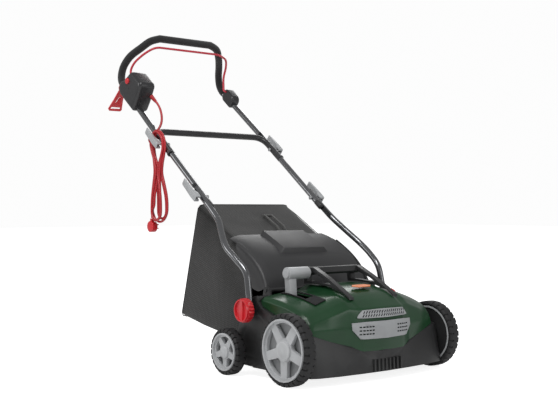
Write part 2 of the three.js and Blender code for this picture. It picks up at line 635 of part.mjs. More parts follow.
function legCap(side) {
  const cap = join(legEnd(LOWER_CLAMP, side, -22 - GAP, -50, TUBE_R + 0.8),
    rod(TUBE_R + 0.8, onHandle(LOWER_CLAMP, side, LEG.inner, -50), onHandle(LOWER_CLAMP, side, LEG.inner, -55), 12, 6));
  return cut(cap, outboard(side, LOWER_CLAMP));
}

function crossbar() {
  const half = [onHandle(UPPER_CLAMP, 1, LEG.inner, -58 + GAP), onHandle(UPPER_CLAMP, 1, LEG.inner, 76)];
  const points = [...half, ...mirrored(half, -1).reverse()];
  const bar = tube(roundedPath(points, 44), TUBE_R + 1, 44, 12);
  return cut(bar, outboard(1, UPPER_CLAMP), outboard(-1, UPPER_CLAMP), clampBore(UPPER_CLAMP));
}

// The grip's hoop: from the end of a leg it rises, leans forward and closes across the top.
const HOOP = [v3(225, 945, 884.5), v3(221, 995, 923.5), v3(216, 1013, 955), v3(209, 1011, 990), v3(195, 989, 1026),
  v3(169, 956, 1056), v3(144, 935, 1079), v3(110, 927, 1091)];

function hoopPath(firstPoints, bend) {
  const path = new THREE.CurvePath();
  const half = [...firstPoints, ...bend];
  const other = mirrored(half, -1).reverse();
  const straight = firstPoints.length;
  if (straight) path.add(new THREE.LineCurve3(half[0], half[1]));
  path.add(new THREE.CatmullRomCurve3(half.slice(straight)));
  path.add(new THREE.LineCurve3(half[half.length - 1], other[0]));
  path.add(new THREE.CatmullRomCurve3(other.slice(0, other.length - straight)));
  if (straight) path.add(new THREE.LineCurve3(other[other.length - 2], other[other.length - 1]));
  return path;
}

const tubePath = () => hoopPath([onHandle(UPPER_CLAMP, 1, LEG.outer, -47)], HOOP);

function upperTube() {
  const lap = (side) => block(span(side, 150, LEG.split + GAP / 2), [620, 781], [620, 770]);
  return cut(tube(tubePath(), TUBE_R, 80), lap(1), lap(-1), clampBore(UPPER_CLAMP));
}

function tubeCap(side) {
  const cap = rod(TUBE_R + 1.5, onHandle(UPPER_CLAMP, side, LEG.outer, -47 - GAP),
    onHandle(UPPER_CLAMP, side, LEG.outer, -54), 12);
  return cut(cap, block(span(side, 200, LEG.split + GAP / 2), [600, 700], [600, 700]));
}

const tubeRoom = () => tube(tubePath(), TUBE_R + 0.4, 80);

function foamGrip() {
  return cut(tube(hoopPath([], HOOP.slice(1)), 13.4, 64, 12), tubeRoom());
}

// Rounded housings that are fuller in the middle than at their two flat ends.
function pod(outline, x, inner, scale) {
  const middleY = outline.reduce((sum, [y]) => sum + y, 0) / outline.length;
  const middleZ = outline.reduce((sum, [, z]) => sum + z, 0) / outline.length;
  const sized = (k) => outline.map(([y, z]) => [middleY + (y - middleY) * k, middleZ + (z - middleZ) * k]);
  return loftX([[x[0], sized(scale)], [inner[0], outline], [inner[1], outline], [x[1], sized(scale)]]);
}

const [[BAIL_Y, BAIL_Z]] = besideHandle(UPPER_CLAMP, [[BAIL_PIVOT.run, BAIL_PIVOT.lift]]);
const bailBore = () => rodX(4.5, [-229, 229], BAIL_Y, BAIL_Z, 12);

function switchBox() {
  const body = [[219, -12], [327, -13], [331, 38], [311, 86], [300, 94], [233, 94], [224, 86], [216, 28], [216, -6]];
  const collar = [[316, -14], [348, -14], [353, -7], [353, 28], [348, 34], [316, 36]];
  return cut(
    join(
      pod(besideHandle(UPPER_CLAMP, body), [-252, -186], [-240, -198], 0.86),
      pod(besideHandle(UPPER_CLAMP, collar), [-246, -208], [-240, -213], 0.9),
    ),
    tubeRoom(), bailBore(), rodX(11.4, [-260, -243], BUTTON.y, BUTTON.z, 16), reliefRoom(),
  );
}

function pivotCap() {
  const outline = [[288, -7], [294, -13.5], [348, -13.5], [357, -6], [357, 28], [348, 35], [300, 32], [288, 20]];
  return cut(pod(besideHandle(UPPER_CLAMP, outline), [208, 244], [214, 237], 0.84), tubeRoom(), bailBore());
}

function bailBar() {
  const left = [v3(222, BAIL_Y, BAIL_Z), v3(199, BAIL_Y, BAIL_Z), v3(205, 974, 985), v3(211, 965, 1020),
    v3(198, 946, 1048), v3(146, 918, 1058)];
  const right = [v3(-138, 910, 1056), v3(-168, 936, 1034), v3(-190, 968, 1004), v3(-199, 982, 974),
    v3(-199, BAIL_Y, BAIL_Z), v3(-222, BAIL_Y, BAIL_Z)];
  const points = [...left, ...right];
  return tube(roundedPath(points, 26), 4, 78, 8);
}

function camLever(clamp, side) {
  const profile = [[-11, 250], [12, 250], [23, 258.4], [80, 258.4], [84, 262], [75, 266], [16, 269.5], [-11, 268]];
  const basis = new THREE.Matrix4().makeBasis(ALONG, AXIS_X.clone().multiplyScalar(side), NORMAL.clone()
    .multiplyScalar(-side));
  const lever = (points, half) => {
    const geometry = new THREE.ExtrudeGeometry(shapeOf(points), { depth: 2 * half, bevelEnabled: false });
    geometry.translate(0, 0, -half);
    geometry.applyMatrix4(basis);
    geometry.translate(0, clamp.y, clamp.z);
    return solid(geometry);
  };
  const slot = [[-20, 240], [6, 240], [6, CAM_PIVOT_X + 5.6], [-20, CAM_PIVOT_X + 5.6]];
  return cut(lever(profile, 10.5), lever(slot, 4.2));
}

for (const [name, side] of SIDES) {
  add(`lower_tube_${name}`, lowerTube(side), COLOUR.tube, 0.35, 0.7);
  add(`side_knob_${name}`, knob(side), COLOUR.red, 0.4);
  add(`mid_leg_${name}`, midLeg(side), COLOUR.tube, 0.35, 0.7);
  add(`leg_cap_${name}`, legCap(side), COLOUR.black);
  add(`tube_cap_${name}`, tubeCap(side), COLOUR.black);
  for (const [level, clamp] of [['lower', LOWER_CLAMP], ['upper', UPPER_CLAMP]]) {
    add(`${level}_bolt_${name}`, boltOf(clamp, side), COLOUR.steel, 0.3, 0.9);
    add(`${level}_cam_${name}`, camLever(clamp, side), COLOUR.lever, 0.4);
  }
}
add('crossbar', crossbar(), COLOUR.black, 0.5);
add('upper_tube', upperTube(), COLOUR.tube, 0.35, 0.7);
add('foam_grip', foamGrip(), COLOUR.black, 0.95);
add('switch_box', switchBox(), COLOUR.deck, 0.5);
add('pivot_cap', pivotCap(), COLOUR.deck, 0.5);
add('bail_bar', bailBar(), COLOUR.red, 0.45);
add('safety_button', rodX(11, [-256, -247], BUTTON.y, BUTTON.z, 16), COLOUR.red, 0.4);

// ---------------------------------------------------------------- cable restraint, cord and plug
function cableHook() {
  const root = onHandle(UPPER_CLAMP, -1, LEG.outer - 11.9, 356.6, 0);
  const outline = [[-9, -16], [9, -16], [16, -8], [16, 8], [11, 18], [18, 58], [27, 98], [22, 104], [-22, 104],
    [-27, 98], [-18, 58], [-11, 18], [-16, 8], [-16, -8]];
  const ringHole = circle(TUBE_R + 2.2, 24);
  const loop = [[-18, 88], [18, 88], [20, 96], [-20, 96]];
  const hookSlot = [[-9, 68], [-3, 48], [6, 42], [6, 48], [1, 51], [-4, 70]];
  const matrix = new THREE.Matrix4().makeBasis(AXIS_X, NORMAL.clone().multiplyScalar(-1), ALONG.clone())
    .setPosition(root);
  return extrude(outline, 5, matrix, [ringHole, loop, hookSlot]);
}

// The hank of cord that hangs round the right upper clamp.
const HANK_X = [-257.6, -246.4];
const HANK = [[668, 690], [674, 722], [700, 746], [732, 757], [752, 748], [763, 728], [763, 708], [757, 680],
  [740, 640], [734, 605], [745, 540], [753, 490], [750, 452], [732, 452], [716, 440], [686, 434], [664, 446],
  [652, 482], [656, 520], [676, 565], [687, 605], [680, 640]];
function mainsCord() {
  return tube(new THREE.CatmullRomCurve3(CORD_ROUTE), CORD_R, 18, 8);
}

function reliefLine(back, rootR, tipR) {
  const way = CORD_ROUTE[0].clone().sub(CORD_ROUTE[1]).normalize();
  const root = CORD_ROUTE[0].clone().addScaledVector(way, back);
  return rod(rootR, root, CORD_ROUTE[0].clone().addScaledVector(way, RELIEF.tip), 12, tipR);
}

const strainRelief = () => reliefLine(RELIEF.root, RELIEF.rootR, RELIEF.tipR);

function reliefRoom() {
  return reliefLine(RELIEF.root + 1, RELIEF.rootR + 0.6, RELIEF.tipR + 0.6);
}

// The bundle hangs round the clamp bolt, so it is open where the bolt and its lever stand.
function cordHank() {
  const room = [[-17, -14], [25, -14], [25, 14], [-17, 14]];
  return prismX(HANK, HANK_X, [besideHandle(UPPER_CLAMP, room)]);
}

function mainsPlug() {
  const [y, z] = [741, 425];
  const body = join(rodX(18.5, [-266, -247], y, z, 20), block([-262, -251], [y - 6, y + 6], [z + 14, 451.7]));
  const pins = [6, -6].map((rise) => block([-247.5, -233], [y - 3, y + 3], [z + rise - 2, z + rise + 2]));
  return join(body, ...pins);
}

add('cable_hook', cableHook(), COLOUR.red, 0.45);
add('strain_relief', strainRelief(), COLOUR.red, 0.6);
add('mains_cord', mainsCord(), COLOUR.red, 0.6);
add('cord_hank', cordHank(), COLOUR.red, 0.6);
add('mains_plug', mainsPlug(), COLOUR.red, 0.5);
for (const name of ['strain_relief', 'mains_cord', 'cord_hank', 'mains_plug']) {
  cordNodes.add(name);
}

// ---------------------------------------------------------------- origin
function footprintMiddle() {
  const box = new THREE.Box3();
  for (const mesh of machine.children) {
    if (!cordNodes.has(mesh.name)) box.expandByObject(mesh);
  }
  const middle = box.getCenter(new THREE.Vector3());
  return middle.setZ(box.min.z);
}

machine.position.sub(footprintMiddle());

export default machine;
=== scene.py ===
"""Walk-behind electric lawn scarifier: deck, drive, wheels, flap, grass bag, folding handle and mains lead."""

import json  # noqa: E402
import logging  # noqa: E402
import math  # noqa: E402
from collections.abc import Callable  # noqa: E402
from dataclasses import dataclass, field  # noqa: E402
from enum import Enum  # noqa: E402
from functools import partial  # noqa: E402

import bmesh  # noqa: E402
import bpy  # noqa: E402
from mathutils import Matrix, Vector, noise  # noqa: E402

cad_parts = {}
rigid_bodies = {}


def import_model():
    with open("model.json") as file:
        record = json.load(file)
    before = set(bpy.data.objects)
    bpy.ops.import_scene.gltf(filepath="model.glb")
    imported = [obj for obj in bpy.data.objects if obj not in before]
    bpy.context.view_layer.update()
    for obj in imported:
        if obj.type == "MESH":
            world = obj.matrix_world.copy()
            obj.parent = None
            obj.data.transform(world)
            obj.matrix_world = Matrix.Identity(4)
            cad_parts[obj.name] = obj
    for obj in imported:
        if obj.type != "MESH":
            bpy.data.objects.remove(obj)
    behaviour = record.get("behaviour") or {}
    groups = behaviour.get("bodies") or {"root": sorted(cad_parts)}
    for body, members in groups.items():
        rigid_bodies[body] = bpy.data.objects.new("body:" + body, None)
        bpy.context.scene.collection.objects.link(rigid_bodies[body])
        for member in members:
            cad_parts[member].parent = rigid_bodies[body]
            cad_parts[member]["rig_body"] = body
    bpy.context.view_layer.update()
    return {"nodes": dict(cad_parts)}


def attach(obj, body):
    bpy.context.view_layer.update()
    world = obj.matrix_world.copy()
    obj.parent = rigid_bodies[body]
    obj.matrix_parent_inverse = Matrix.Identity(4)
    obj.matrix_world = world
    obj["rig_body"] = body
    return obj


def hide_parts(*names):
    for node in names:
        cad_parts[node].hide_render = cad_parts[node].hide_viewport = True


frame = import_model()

log = logging.getLogger("scarifier")

Colour = tuple[float, float, float]
Triple = tuple[float, float, float]

FRONT_TO_MIDDLE = 0.477364  # the front axle stands this far in front of the machine's middle
SLOPE = math.radians(38.1)  # rise of the handle towards the rear
LOWER_CLAMP = (482.0, 521.5)
UPPER_CLAMP = (706.0, 697.0)
TUBE_R = 10.0
SIDES = (("left", 1), ("right", -1))


def at(x: float, y: float, z: float) -> Vector:
    """Turn a point laid out from the front axle, in millimetres, into the machine's frame in metres.

    Args:
        x: Distance from the middle plane, + to the operator's left.
        y: Distance behind the front axle.
        z: Height over the ground.

    Returns:
        The same point in metres.
    """
    return Vector((x / 1000, y / 1000 - FRONT_TO_MIDDLE, z / 1000))


def on_handle(clamp: tuple[float, float], x: float, run: float, lift: float = 0.0) -> Vector:
    """Give a point beside the sloping handle.

    Args:
        clamp: Y and Z of the clamp that the point is counted from.
        x: Distance from the middle plane.
        run: Distance along the handle, up towards the grip.
        lift: Distance square to the handle, forwards and up.

    Returns:
        The point in metres.
    """
    y = clamp[0] + run * math.cos(SLOPE) - lift * math.sin(SLOPE)
    z = clamp[1] + run * math.sin(SLOPE) + lift * math.cos(SLOPE)
    return at(x, y, z)


# ---------------------------------------------------------------- finishes
def add_node(tree: bpy.types.NodeTree, kind: str, links: dict[str, bpy.types.NodeSocket],
             values: dict[str, float]) -> bpy.types.Node:
    """Add a shader node.

    Args:
        tree: The node tree.
        kind: Its type, without the common first part.
        links: Sockets that feed its inputs.
        values: Plain values of its inputs.

    Returns:
        The new node.
    """
    made = tree.nodes.new("ShaderNode" + kind)
    for name, value in values.items():
        made.inputs[name].default_value = value
    for name, socket in links.items():
        tree.links.new(socket, made.inputs[name])
    return made


class Grain(Enum):
    """What the surface of a finish is like close up."""

    MOULDED = "moulded"
    GLOSS = "gloss"
    PAINT = "paint"
    METAL = "metal"
    RUBBER = "rubber"
    FOAM = "foam"
    WEAVE = "weave"
    WEBBING = "webbing"


@dataclass(frozen=True)
class Finish:
    """A surface finish made of nodes.

    Attributes:
        name: Name of the material.
        slot: Material slot of the record that it stands for; not used.
        colour: Main colour, linear.
        grain: What it is like close up.
        roughness: Middle of its roughness.
        fine: Fine grain cells per metre.
        bump: Height of the fine grain in metres.
        vary: Share by which the colour wanders.
        wear: How much the edges lighten.
        metallic: 0 for plastic and cloth, towards 1 for bare metal.
        coat: Weight of a clear coat.
    """

    name: str
    slot: str
    colour: Colour
    grain: Grain
    roughness: float
    fine: float = 900.0
    bump: float = 0.00006
    vary: float = 0.10
    wear: float = 0.25
    metallic: float = 0.0
    coat: float = 0.0

    def material(self) -> bpy.types.Material:
        """Return the material, making it the first time."""
        made = bpy.data.materials.get(self.name)
        return made if made else self._build()

    def _build(self) -> bpy.types.Material:
        """Make the node tree.

        Returns:
            The new material.
        """
        material = bpy.data.materials.new(self.name)
        material.use_nodes = True
        tree = material.node_tree
        woven = self.grain in (Grain.WEAVE, Grain.WEBBING)
        plain = {"Metallic": self.metallic, "Coat Weight": self.coat, "Coat Roughness": 0.12}
        if self.grain is Grain.GLOSS:
            plain["Specular IOR Level"] = 0.32
        if woven or self.grain is Grain.FOAM:
            plain |= {"Sheen Weight": 0.25, "Sheen Roughness": 0.6, "Specular IOR Level": 0.25}
        shader = tree.nodes["Principled BSDF"]
        for name, value in plain.items():
            shader.inputs[name].default_value = value
        place = tree.nodes.new("ShaderNodeTexCoord").outputs
        broad, fine = (
            add_node(tree, "TexNoise", {"Vector": place["Object"]}, {"Scale": scale, "Detail": detail}).outputs["Fac"]
            for scale, detail in ((14.0, 4.0), (self.fine, 2.0)))
        tint, height = self._tint(tree, broad), fine
        if woven:
            height = self._threads(tree, place["UV"])
            tint = self._mix(tree, height, A=[c * 0.22 for c in self.colour], B=tint)
        elif self.grain in (Grain.FOAM, Grain.RUBBER):
            tint = self._mix(tree, fine, A=[c * 0.7 for c in self.colour], B=tint)
        if self.wear and not woven and self.grain is not Grain.FOAM:
            tint = self._edges(tree, tint)
        rough = add_node(tree, "MapRange", {"Value": broad}, {"To Min": max(0.04, self.roughness - 0.07),
                                                              "To Max": min(1.0, self.roughness + 0.08)})
        bump = add_node(tree, "Bump", {"Height": height}, {"Strength": 1.0, "Distance": self.bump})
        for name, socket in (("Base Color", tint), ("Roughness", rough.outputs["Result"]),
                             ("Normal", bump.outputs["Normal"])):
            tree.links.new(socket, shader.inputs[name])
        return material

    @staticmethod
    def _mix(tree: bpy.types.NodeTree, share: bpy.types.NodeSocket,
             **ends: list[float] | bpy.types.NodeSocket) -> bpy.types.NodeSocket:
        """Mix two colours.

        Args:
            tree: The node tree.
            share: Share of colour B.
            **ends: A and B, each a plain colour or a made one's socket.

        Returns:
            The mixed colour's socket.
        """
        mix = tree.nodes.new("ShaderNodeMix")
        mix.data_type = "RGBA"
        tree.links.new(share, mix.inputs["Factor"])
        for name, end in ends.items():
            if isinstance(end, bpy.types.NodeSocket):
                tree.links.new(end, mix.inputs[name])
            else:
                mix.inputs[name].default_value = (*end, 1.0)
        return mix.outputs["Result"]

    def _tint(self, tree: bpy.types.NodeTree, fac: bpy.types.NodeSocket) -> bpy.types.NodeSocket:
        """Let the main colour wander a little.

        Args:
            tree: The node tree.
            fac: The broad noise.

        Returns:
            The colour's socket.
        """
        ramp = add_node(tree, "ValToRGB", {"Fac": fac}, {})
        stops = zip(ramp.color_ramp.elements, (0.3, 0.7), (1 - self.vary, 1 + self.vary))
        for element, position, share in stops:
            element.position = position
            element.color = (*[min(1.0, c * share) for c in self.colour], 1.0)
        return ramp.outputs["Color"]

    def _edges(self, tree: bpy.types.NodeTree, tint: bpy.types.NodeSocket) -> bpy.types.NodeSocket:
        """Rub the edges lighter.

        Args:
            tree: The node tree.
            tint: The colour so far.

        Returns:
            The colour's socket with the edges lightened.
        """
        sharp = tree.nodes.new("ShaderNodeNewGeometry").outputs["Pointiness"]
        reach = add_node(tree, "MapRange", {"Value": sharp}, {"From Min": 0.52, "From Max": 0.62, "To Max": self.wear})
        return self._mix(tree, reach.outputs["Result"], A=tint, B=[min(1.0, c * 1.7 + 0.03) for c in self.colour])

    def _threads(self, tree: bpy.types.NodeTree, where: bpy.types.NodeSocket) -> bpy.types.NodeSocket:
        """Cross two sets of threads over each other.

        Args:
            tree: The node tree.
            where: The piece's own UV, in metres.

        Returns:
            A height from 0 in the gaps to 1 on the threads.
        """
        crossed = tree.nodes.new("ShaderNodeMath")
        crossed.operation = "MULTIPLY"
        for direction, socket in zip(("X", "Y"), crossed.inputs):
            wave = add_node(tree, "TexWave", {"Vector": where}, {"Scale": self.fine, "Distortion": 0.25})
            wave.bands_direction = direction
            tree.links.new(wave.outputs["Fac"], socket)
        return crossed.outputs["Value"]


DECK_PLASTIC = Finish("deck_plastic_black", "deck_plastic", (0.0150, 0.0152, 0.0158), Grain.MOULDED, 0.42, fine=700)
COVER_GREEN = Finish("cover_dark_green", "cover_gloss", (0.010, 0.050, 0.018), Grain.GLOSS, 0.3, fine=500,
                     bump=0.00001, vary=0.08, wear=0.15, metallic=0.0, coat=0.16)
GRILLE_GREY = Finish("grille_grey", "grille", (0.33, 0.34, 0.35), Grain.MOULDED, 0.42, fine=800)
SLOT_DARK = Finish("slot_shadow_black", "deck_plastic", (0.008, 0.008, 0.009), Grain.MOULDED, 0.8)
FLAP_PLASTIC = Finish("flap_charcoal", "trim_plastic", (0.028, 0.028, 0.0295), Grain.MOULDED, 0.45, fine=700)
TRIM_PLASTIC = Finish("trim_charcoal", "trim_plastic", (0.020, 0.020, 0.021), Grain.MOULDED, 0.42, fine=700)
BADGE = Finish("badge_orange_enamel", "badge", (0.75, 0.17, 0.02), Grain.GLOSS, 0.4, fine=900, bump=0.00002,
               vary=0.06, wear=0.2, metallic=0.0, coat=0.1)
MOTOR_STEEL = Finish("motor_cast_steel", "motor_steel", (0.26, 0.27, 0.28), Grain.METAL, 0.5, fine=600, bump=0.0001,
                     vary=0.12, wear=0.3, metallic=0.8)
BELT_RUBBER = Finish("belt_rubber_black", "belt_rubber", (0.018, 0.018, 0.019), Grain.RUBBER, 0.75, fine=1200)
BEARING = Finish("bearing_black", "bearing", (0.03, 0.03, 0.032), Grain.MOULDED, 0.5)
STEEL = Finish("zinc_steel", "steel", (0.5, 0.51, 0.52), Grain.METAL, 0.3, fine=1500, bump=0.00002, vary=0.08,
               wear=0.3, metallic=1.0)
LEVER_GREY = Finish("lever_light_grey", "lever_plastic", (0.40, 0.41, 0.42), Grain.MOULDED, 0.36, fine=900)
BAG_FABRIC = Finish("bag_mesh_fabric", "bag_fabric", (0.037, 0.0365, 0.035), Grain.WEAVE, 0.85, fine=52, bump=0.0006,
                    vary=0.12)
BAG_TRIM = Finish("bag_piping_black", "webbing", (0.02, 0.02, 0.02), Grain.RUBBER, 0.8, fine=1200, bump=0.0001,
                  vary=0.1)
WEBBING = Finish("webbing_grey", "webbing", (0.16, 0.16, 0.155), Grain.WEBBING, 0.8, fine=220, bump=0.0003, vary=0.12)
BLACK_PAINT = Finish("crossbar_black_powder", "black_paint", (0.022, 0.022, 0.024), Grain.PAINT, 0.38, fine=1400)
TUBE_PAINT = Finish("tube_metallic_grey", "tube_paint", (0.15, 0.153, 0.16), Grain.PAINT, 0.2, fine=2500,
                    bump=0.000004, vary=0.06, wear=0.2, metallic=0.9, coat=0.8)
FOAM = Finish("grip_foam_black", "foam", (0.014, 0.014, 0.015), Grain.FOAM, 0.9, fine=1500, bump=0.0003)
RED_PAINT = Finish("bail_red_powder", "red_paint", (0.52, 0.03, 0.05), Grain.PAINT, 0.32, fine=1600, bump=0.00002,
                   vary=0.06)
RED_PLASTIC = Finish("knob_red_plastic", "red_plastic", (0.60, 0.018, 0.026), Grain.MOULDED, 0.3, fine=900,
                     bump=0.00003, vary=0.06, wear=0.2, metallic=0.0, coat=0.2)
RED_RUBBER = Finish("lead_red_rubber", "red_rubber", (0.50, 0.02, 0.028), Grain.RUBBER, 0.36, fine=900, bump=0.00004,
                    vary=0.08)
TYRE_RUBBER = Finish("tyre_black", "tyre", (0.015, 0.015, 0.016), Grain.RUBBER, 0.66, fine=700, bump=0.0001)
HUB_PLASTIC = Finish("hub_light_grey", "hub_plastic", (0.45, 0.46, 0.47), Grain.MOULDED, 0.4, fine=900)
BOX_PLASTIC = Finish("switch_box_black", "trim_plastic", (0.022, 0.022, 0.024), Grain.MOULDED, 0.3, fine=900,
                     bump=0.00003, vary=0.08, wear=0.2, metallic=0.0, coat=0.2)
# Hub plastic at half its brightness: painted shade for the hollow of the hub behind the spokes.
HUB_DISH_PAINTED_SHADE = Finish("hub_dish_grey", "hub_plastic", (0.22, 0.225, 0.23), Grain.MOULDED, 0.5, fine=900)


# ---------------------------------------------------------------- workshop
def deselect() -> None:
    """Leave edit mode and select nothing."""
    if bpy.context.object and bpy.context.object.mode != "OBJECT":
        bpy.ops.object.mode_set(mode="OBJECT")
    bpy.ops.object.select_all(action="DESELECT")


def take(piece: bpy.types.Object) -> None:
    """Make a piece the only selected and the active one.

    Args:
        piece: The piece.
    """
    deselect()
    piece.select_set(True)
    bpy.context.view_layer.objects.active = piece


def settle(piece: bpy.types.Object) -> None:
    """Move a piece's place into its mesh, so that its object sits at the origin."""
    take(piece)
    bpy.ops.object.transform_apply(location=True, rotation=True, scale=True)


def apply_modifier(piece: bpy.types.Object, kind: str, **settings: object) -> None:
    """Add a modifier and apply it.

    Args:
        piece: The piece.
        kind: Modifier type.
        **settings: Its settings.
    """
    take(piece)
    modifier = piece.modifiers.new(kind.lower(), kind)
    for key, value in settings.items():
        setattr(modifier, key, value)
    bpy.ops.object.modifier_apply(modifier=modifier.name)


def edit(piece: bpy.types.Object, *steps: Callable[[], object],
         chosen: Callable[[bmesh.types.BMFace], bool] | None = None) -> None:
    """Work on a piece in edit mode.

    Args:
        piece: The piece.
        *steps: Operators to run, in order.
        chosen: Tells which faces they work on; left out, they work on the whole piece.
    """
    take(piece)
    bpy.ops.object.mode_set(mode="EDIT")
    bpy.ops.mesh.select_all(action="DESELECT" if chosen else "SELECT")
    if chosen:
        mesh = bmesh.from_edit_mesh(piece.data)
        for face in mesh.faces:
            face.select_set(chosen(face))
        bmesh.update_edit_mesh(piece.data)
    for step in steps:
        step()
    bpy.ops.object.mode_set(mode="OBJECT")


def tidy_mesh(piece: bpy.types.Object, near: float = 0.00001) -> None:
    """Merge doubles and turn every face outwards.

    Args:
        piece: The piece.
        near: Distance under which points are merged.
    """
    edit(piece, partial(bpy.ops.mesh.remove_doubles, threshold=near),
         partial(bpy.ops.mesh.normals_make_consistent, inside=False))


def face_out(piece: bpy.types.Object, way: Triple) -> None:
    """Turn an open sheet over if it looks the wrong way.

    Args:
        piece: The sheet.
        way: The direction that it should look in.
    """
    if sum(face.normal.dot(Vector(way)) * face.area for face in piece.data.polygons) < 0:
        edit(piece, bpy.ops.mesh.flip_normals)


def smooth(piece: bpy.types.Object, degrees: float = 35.0) -> None:
    """Shade a piece smooth but for its sharp edges.

    Args:
        piece: The piece.
        degrees: Angle over which an edge stays sharp.
    """
    take(piece)
    bpy.ops.object.shade_smooth_by_angle(angle=math.radians(degrees))


def soften(piece: bpy.types.Object, width: float, segments: int = 3, degrees: float = 38.0) -> None:
    """Round off the edges of a piece.

    Args:
        piece: The piece.
        width: Size of the rounding in metres.
        segments: Faces across the rounding.
        degrees: Angle over which an edge is rounded.
    """
    apply_modifier(piece, "BEVEL", width=width, segments=segments, limit_method="ANGLE",
                   angle_limit=math.radians(degrees), use_clamp_overlap=True)


def box_uv(piece: bpy.types.Object) -> None:
    """Lay a cloth's threads along its faces: UV in metres, by each face's main direction.

    Args:
        piece: The cloth.
    """
    mesh = piece.data
    layer = mesh.uv_layers.new(name="threads") if not mesh.uv_layers else mesh.uv_layers[0]
    for face in mesh.polygons:
        facing = max(range(3), key=lambda i: abs(face.normal[i]))
        first, second = [(1, 2), (0, 2), (0, 1)][facing]
        for loop in face.loop_indices:
            point = mesh.vertices[mesh.loops[loop].vertex_index].co
            layer.data[loop].uv = (point[first], point[second])


def finish_piece(piece: bpy.types.Object, finish: Finish, body: str, *nodes: str) -> bpy.types.Object:
    """Give a piece its finish and its body, and hide the nodes that it replaces.

    Args:
        piece: The piece.
        finish: Its finish.
        body: The body that it rides on.
        *nodes: Nodes that it replaces.

    Returns:
        The piece.
    """
    if not piece.data.materials:
        piece.data.materials.append(finish.material())
    if finish.grain in (Grain.WEAVE, Grain.WEBBING) and piece.type == "MESH" and not piece.data.uv_layers:
        box_uv(piece)
    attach(piece, body)
    if nodes:
        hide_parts(*nodes)
    return piece


def body_of_node(node: str) -> str:
    """Return the body that a node rides on."""
    return frame["nodes"][node]["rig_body"]


@dataclass(frozen=True)
class Softened:
    """A moulded piece whose edges are rounded.

    Attributes:
        node: Name of the piece.
        finish: Its finish.
        edge: Rounding in metres.
        segments: Faces across the rounding.
        angle: Angle over which an edge is rounded.
        shade: Angle over which an edge is left sharp.
        whole_faces: Whether flat areas are joined into whole faces first.
    """

    node: str
    finish: Finish
    edge: float = 0.0012
    segments: int = 3
    angle: float = 38.0
    shade: float = 40.0
    whole_faces: bool = True

    def build(self) -> bpy.types.Object:
        """Copy the piece's plain form and round it off.

        Returns:
            The finished piece.
        """
        source = frame["nodes"][self.node]
        piece = bpy.data.objects.new(self.node + "_skin", source.data.copy())
        bpy.context.scene.collection.objects.link(piece)
        piece.data.materials.clear()
        steps = [partial(bpy.ops.mesh.remove_doubles, threshold=0.00002)]
        if self.whole_faces:
            steps.append(partial(bpy.ops.mesh.dissolve_limited, angle_limit=math.radians(0.8)))
        edit(piece, *steps)
        if self.edge:
            soften(piece, width=self.edge, segments=self.segments, degrees=self.angle)
        smooth(piece, self.shade)
        return finish_piece(piece, self.finish, body_of_node(self.node), self.node)


def through(points: list[Vector], step: float = 0.006) -> list[Vector]:
    """Draw a smooth line through points.

    Args:
        points: The points.
        step: Distance between the points of the line.

    Returns:
        The points of the line.
    """
    ends = [points[0] * 2 - points[1], *points, points[-1] * 2 - points[-2]]
    line = []
    for p0, p1, p2, p3 in zip(ends, ends[1:], ends[2:], ends[3:]):
        t1 = (p1 - p0).length ** 0.5
        t2 = t1 + (p2 - p1).length ** 0.5
        t3 = t2 + (p3 - p2).length ** 0.5
        count = max(2, round((p2 - p1).length / step))
        for k in range(count):
            t = t1 + (t2 - t1) * k / count
            a, b, c = p0.lerp(p1, t / t1), p1.lerp(p2, (t - t1) / (t2 - t1)), p2.lerp(p3, (t - t2) / (t3 - t2))
            line.append(a.lerp(b, t / t2).lerp(b.lerp(c, (t - t1) / (t3 - t1)), (t - t1) / (t2 - t1)))
    line.append(points[-1].copy())
    return line


def rounded(points: list[Vector], reach: float, steps: int = 8) -> list[Vector]:
    """Draw straight runs whose corners are rounded off.

    Args:
        points: The corners, with both ends.
        reach: Distance from a corner at which its bend starts.
        steps: Points on each bend.

    Returns:
        The points of the line.
    """
    line = [points[0].copy()]
    for before, corner, after in zip(points, points[1:], points[2:]):
        size = min(reach, 0.48 * (before - corner).length, 0.48 * (after - corner).length)
        enter = corner + (before - corner).normalized() * size
        leave = corner + (after - corner).normalized() * size
        for k in range(steps + 1):
            t = k / steps
            line.append(enter.lerp(corner, t).lerp(corner.lerp(leave, t), t))
    line.append(points[-1].copy())
    return line


def curve_of(name: str, line: list[Vector], radius: float, round_steps: int = 6,
             swell: list[float] | None = None) -> bpy.types.Object:
    """Make a round bar along a line, as a curve.

    Args:
        name: Name of the piece.
        line: Points of its middle line.
        radius: Its radius in metres.
        round_steps: Steps in a quarter of its round.
        swell: Radius of each point as a share of the radius.

    Returns:
        The curve object.
    """
    data = bpy.data.curves.new(name, "CURVE")
    data.dimensions = "3D"
    data.bevel_depth = radius
    data.bevel_resolution = round_steps
    data.use_fill_caps = True
    spline = data.splines.new("POLY")
    spline.points.add(len(line) - 1)
    for i, (point, where) in enumerate(zip(spline.points, line)):
        point.co = (*where, 1.0)
        point.radius = swell[i] if swell else 1.0
    piece = bpy.data.objects.new(name, data)
    bpy.context.scene.collection.objects.link(piece)
    return piece


def bar(name: str, line: list[Vector], radius: float, round_steps: int = 6,
        swell: list[float] | None = None) -> bpy.types.Object:
    """Make a round bar along a line, as a mesh.

    Args:
        name: Name of the piece.
        line: Points of its middle line.
        radius: Its radius in metres.
        round_steps: Steps in a quarter of its round.
        swell: Radius of each point as a share of the radius.

    Returns:
        The mesh object.
    """
    piece = curve_of(name, line, radius, round_steps, swell)
    take(piece)
    bpy.ops.object.convert(target="MESH")
    piece = bpy.context.object
    tidy_mesh(piece)
    smooth(piece, 40)
    return piece


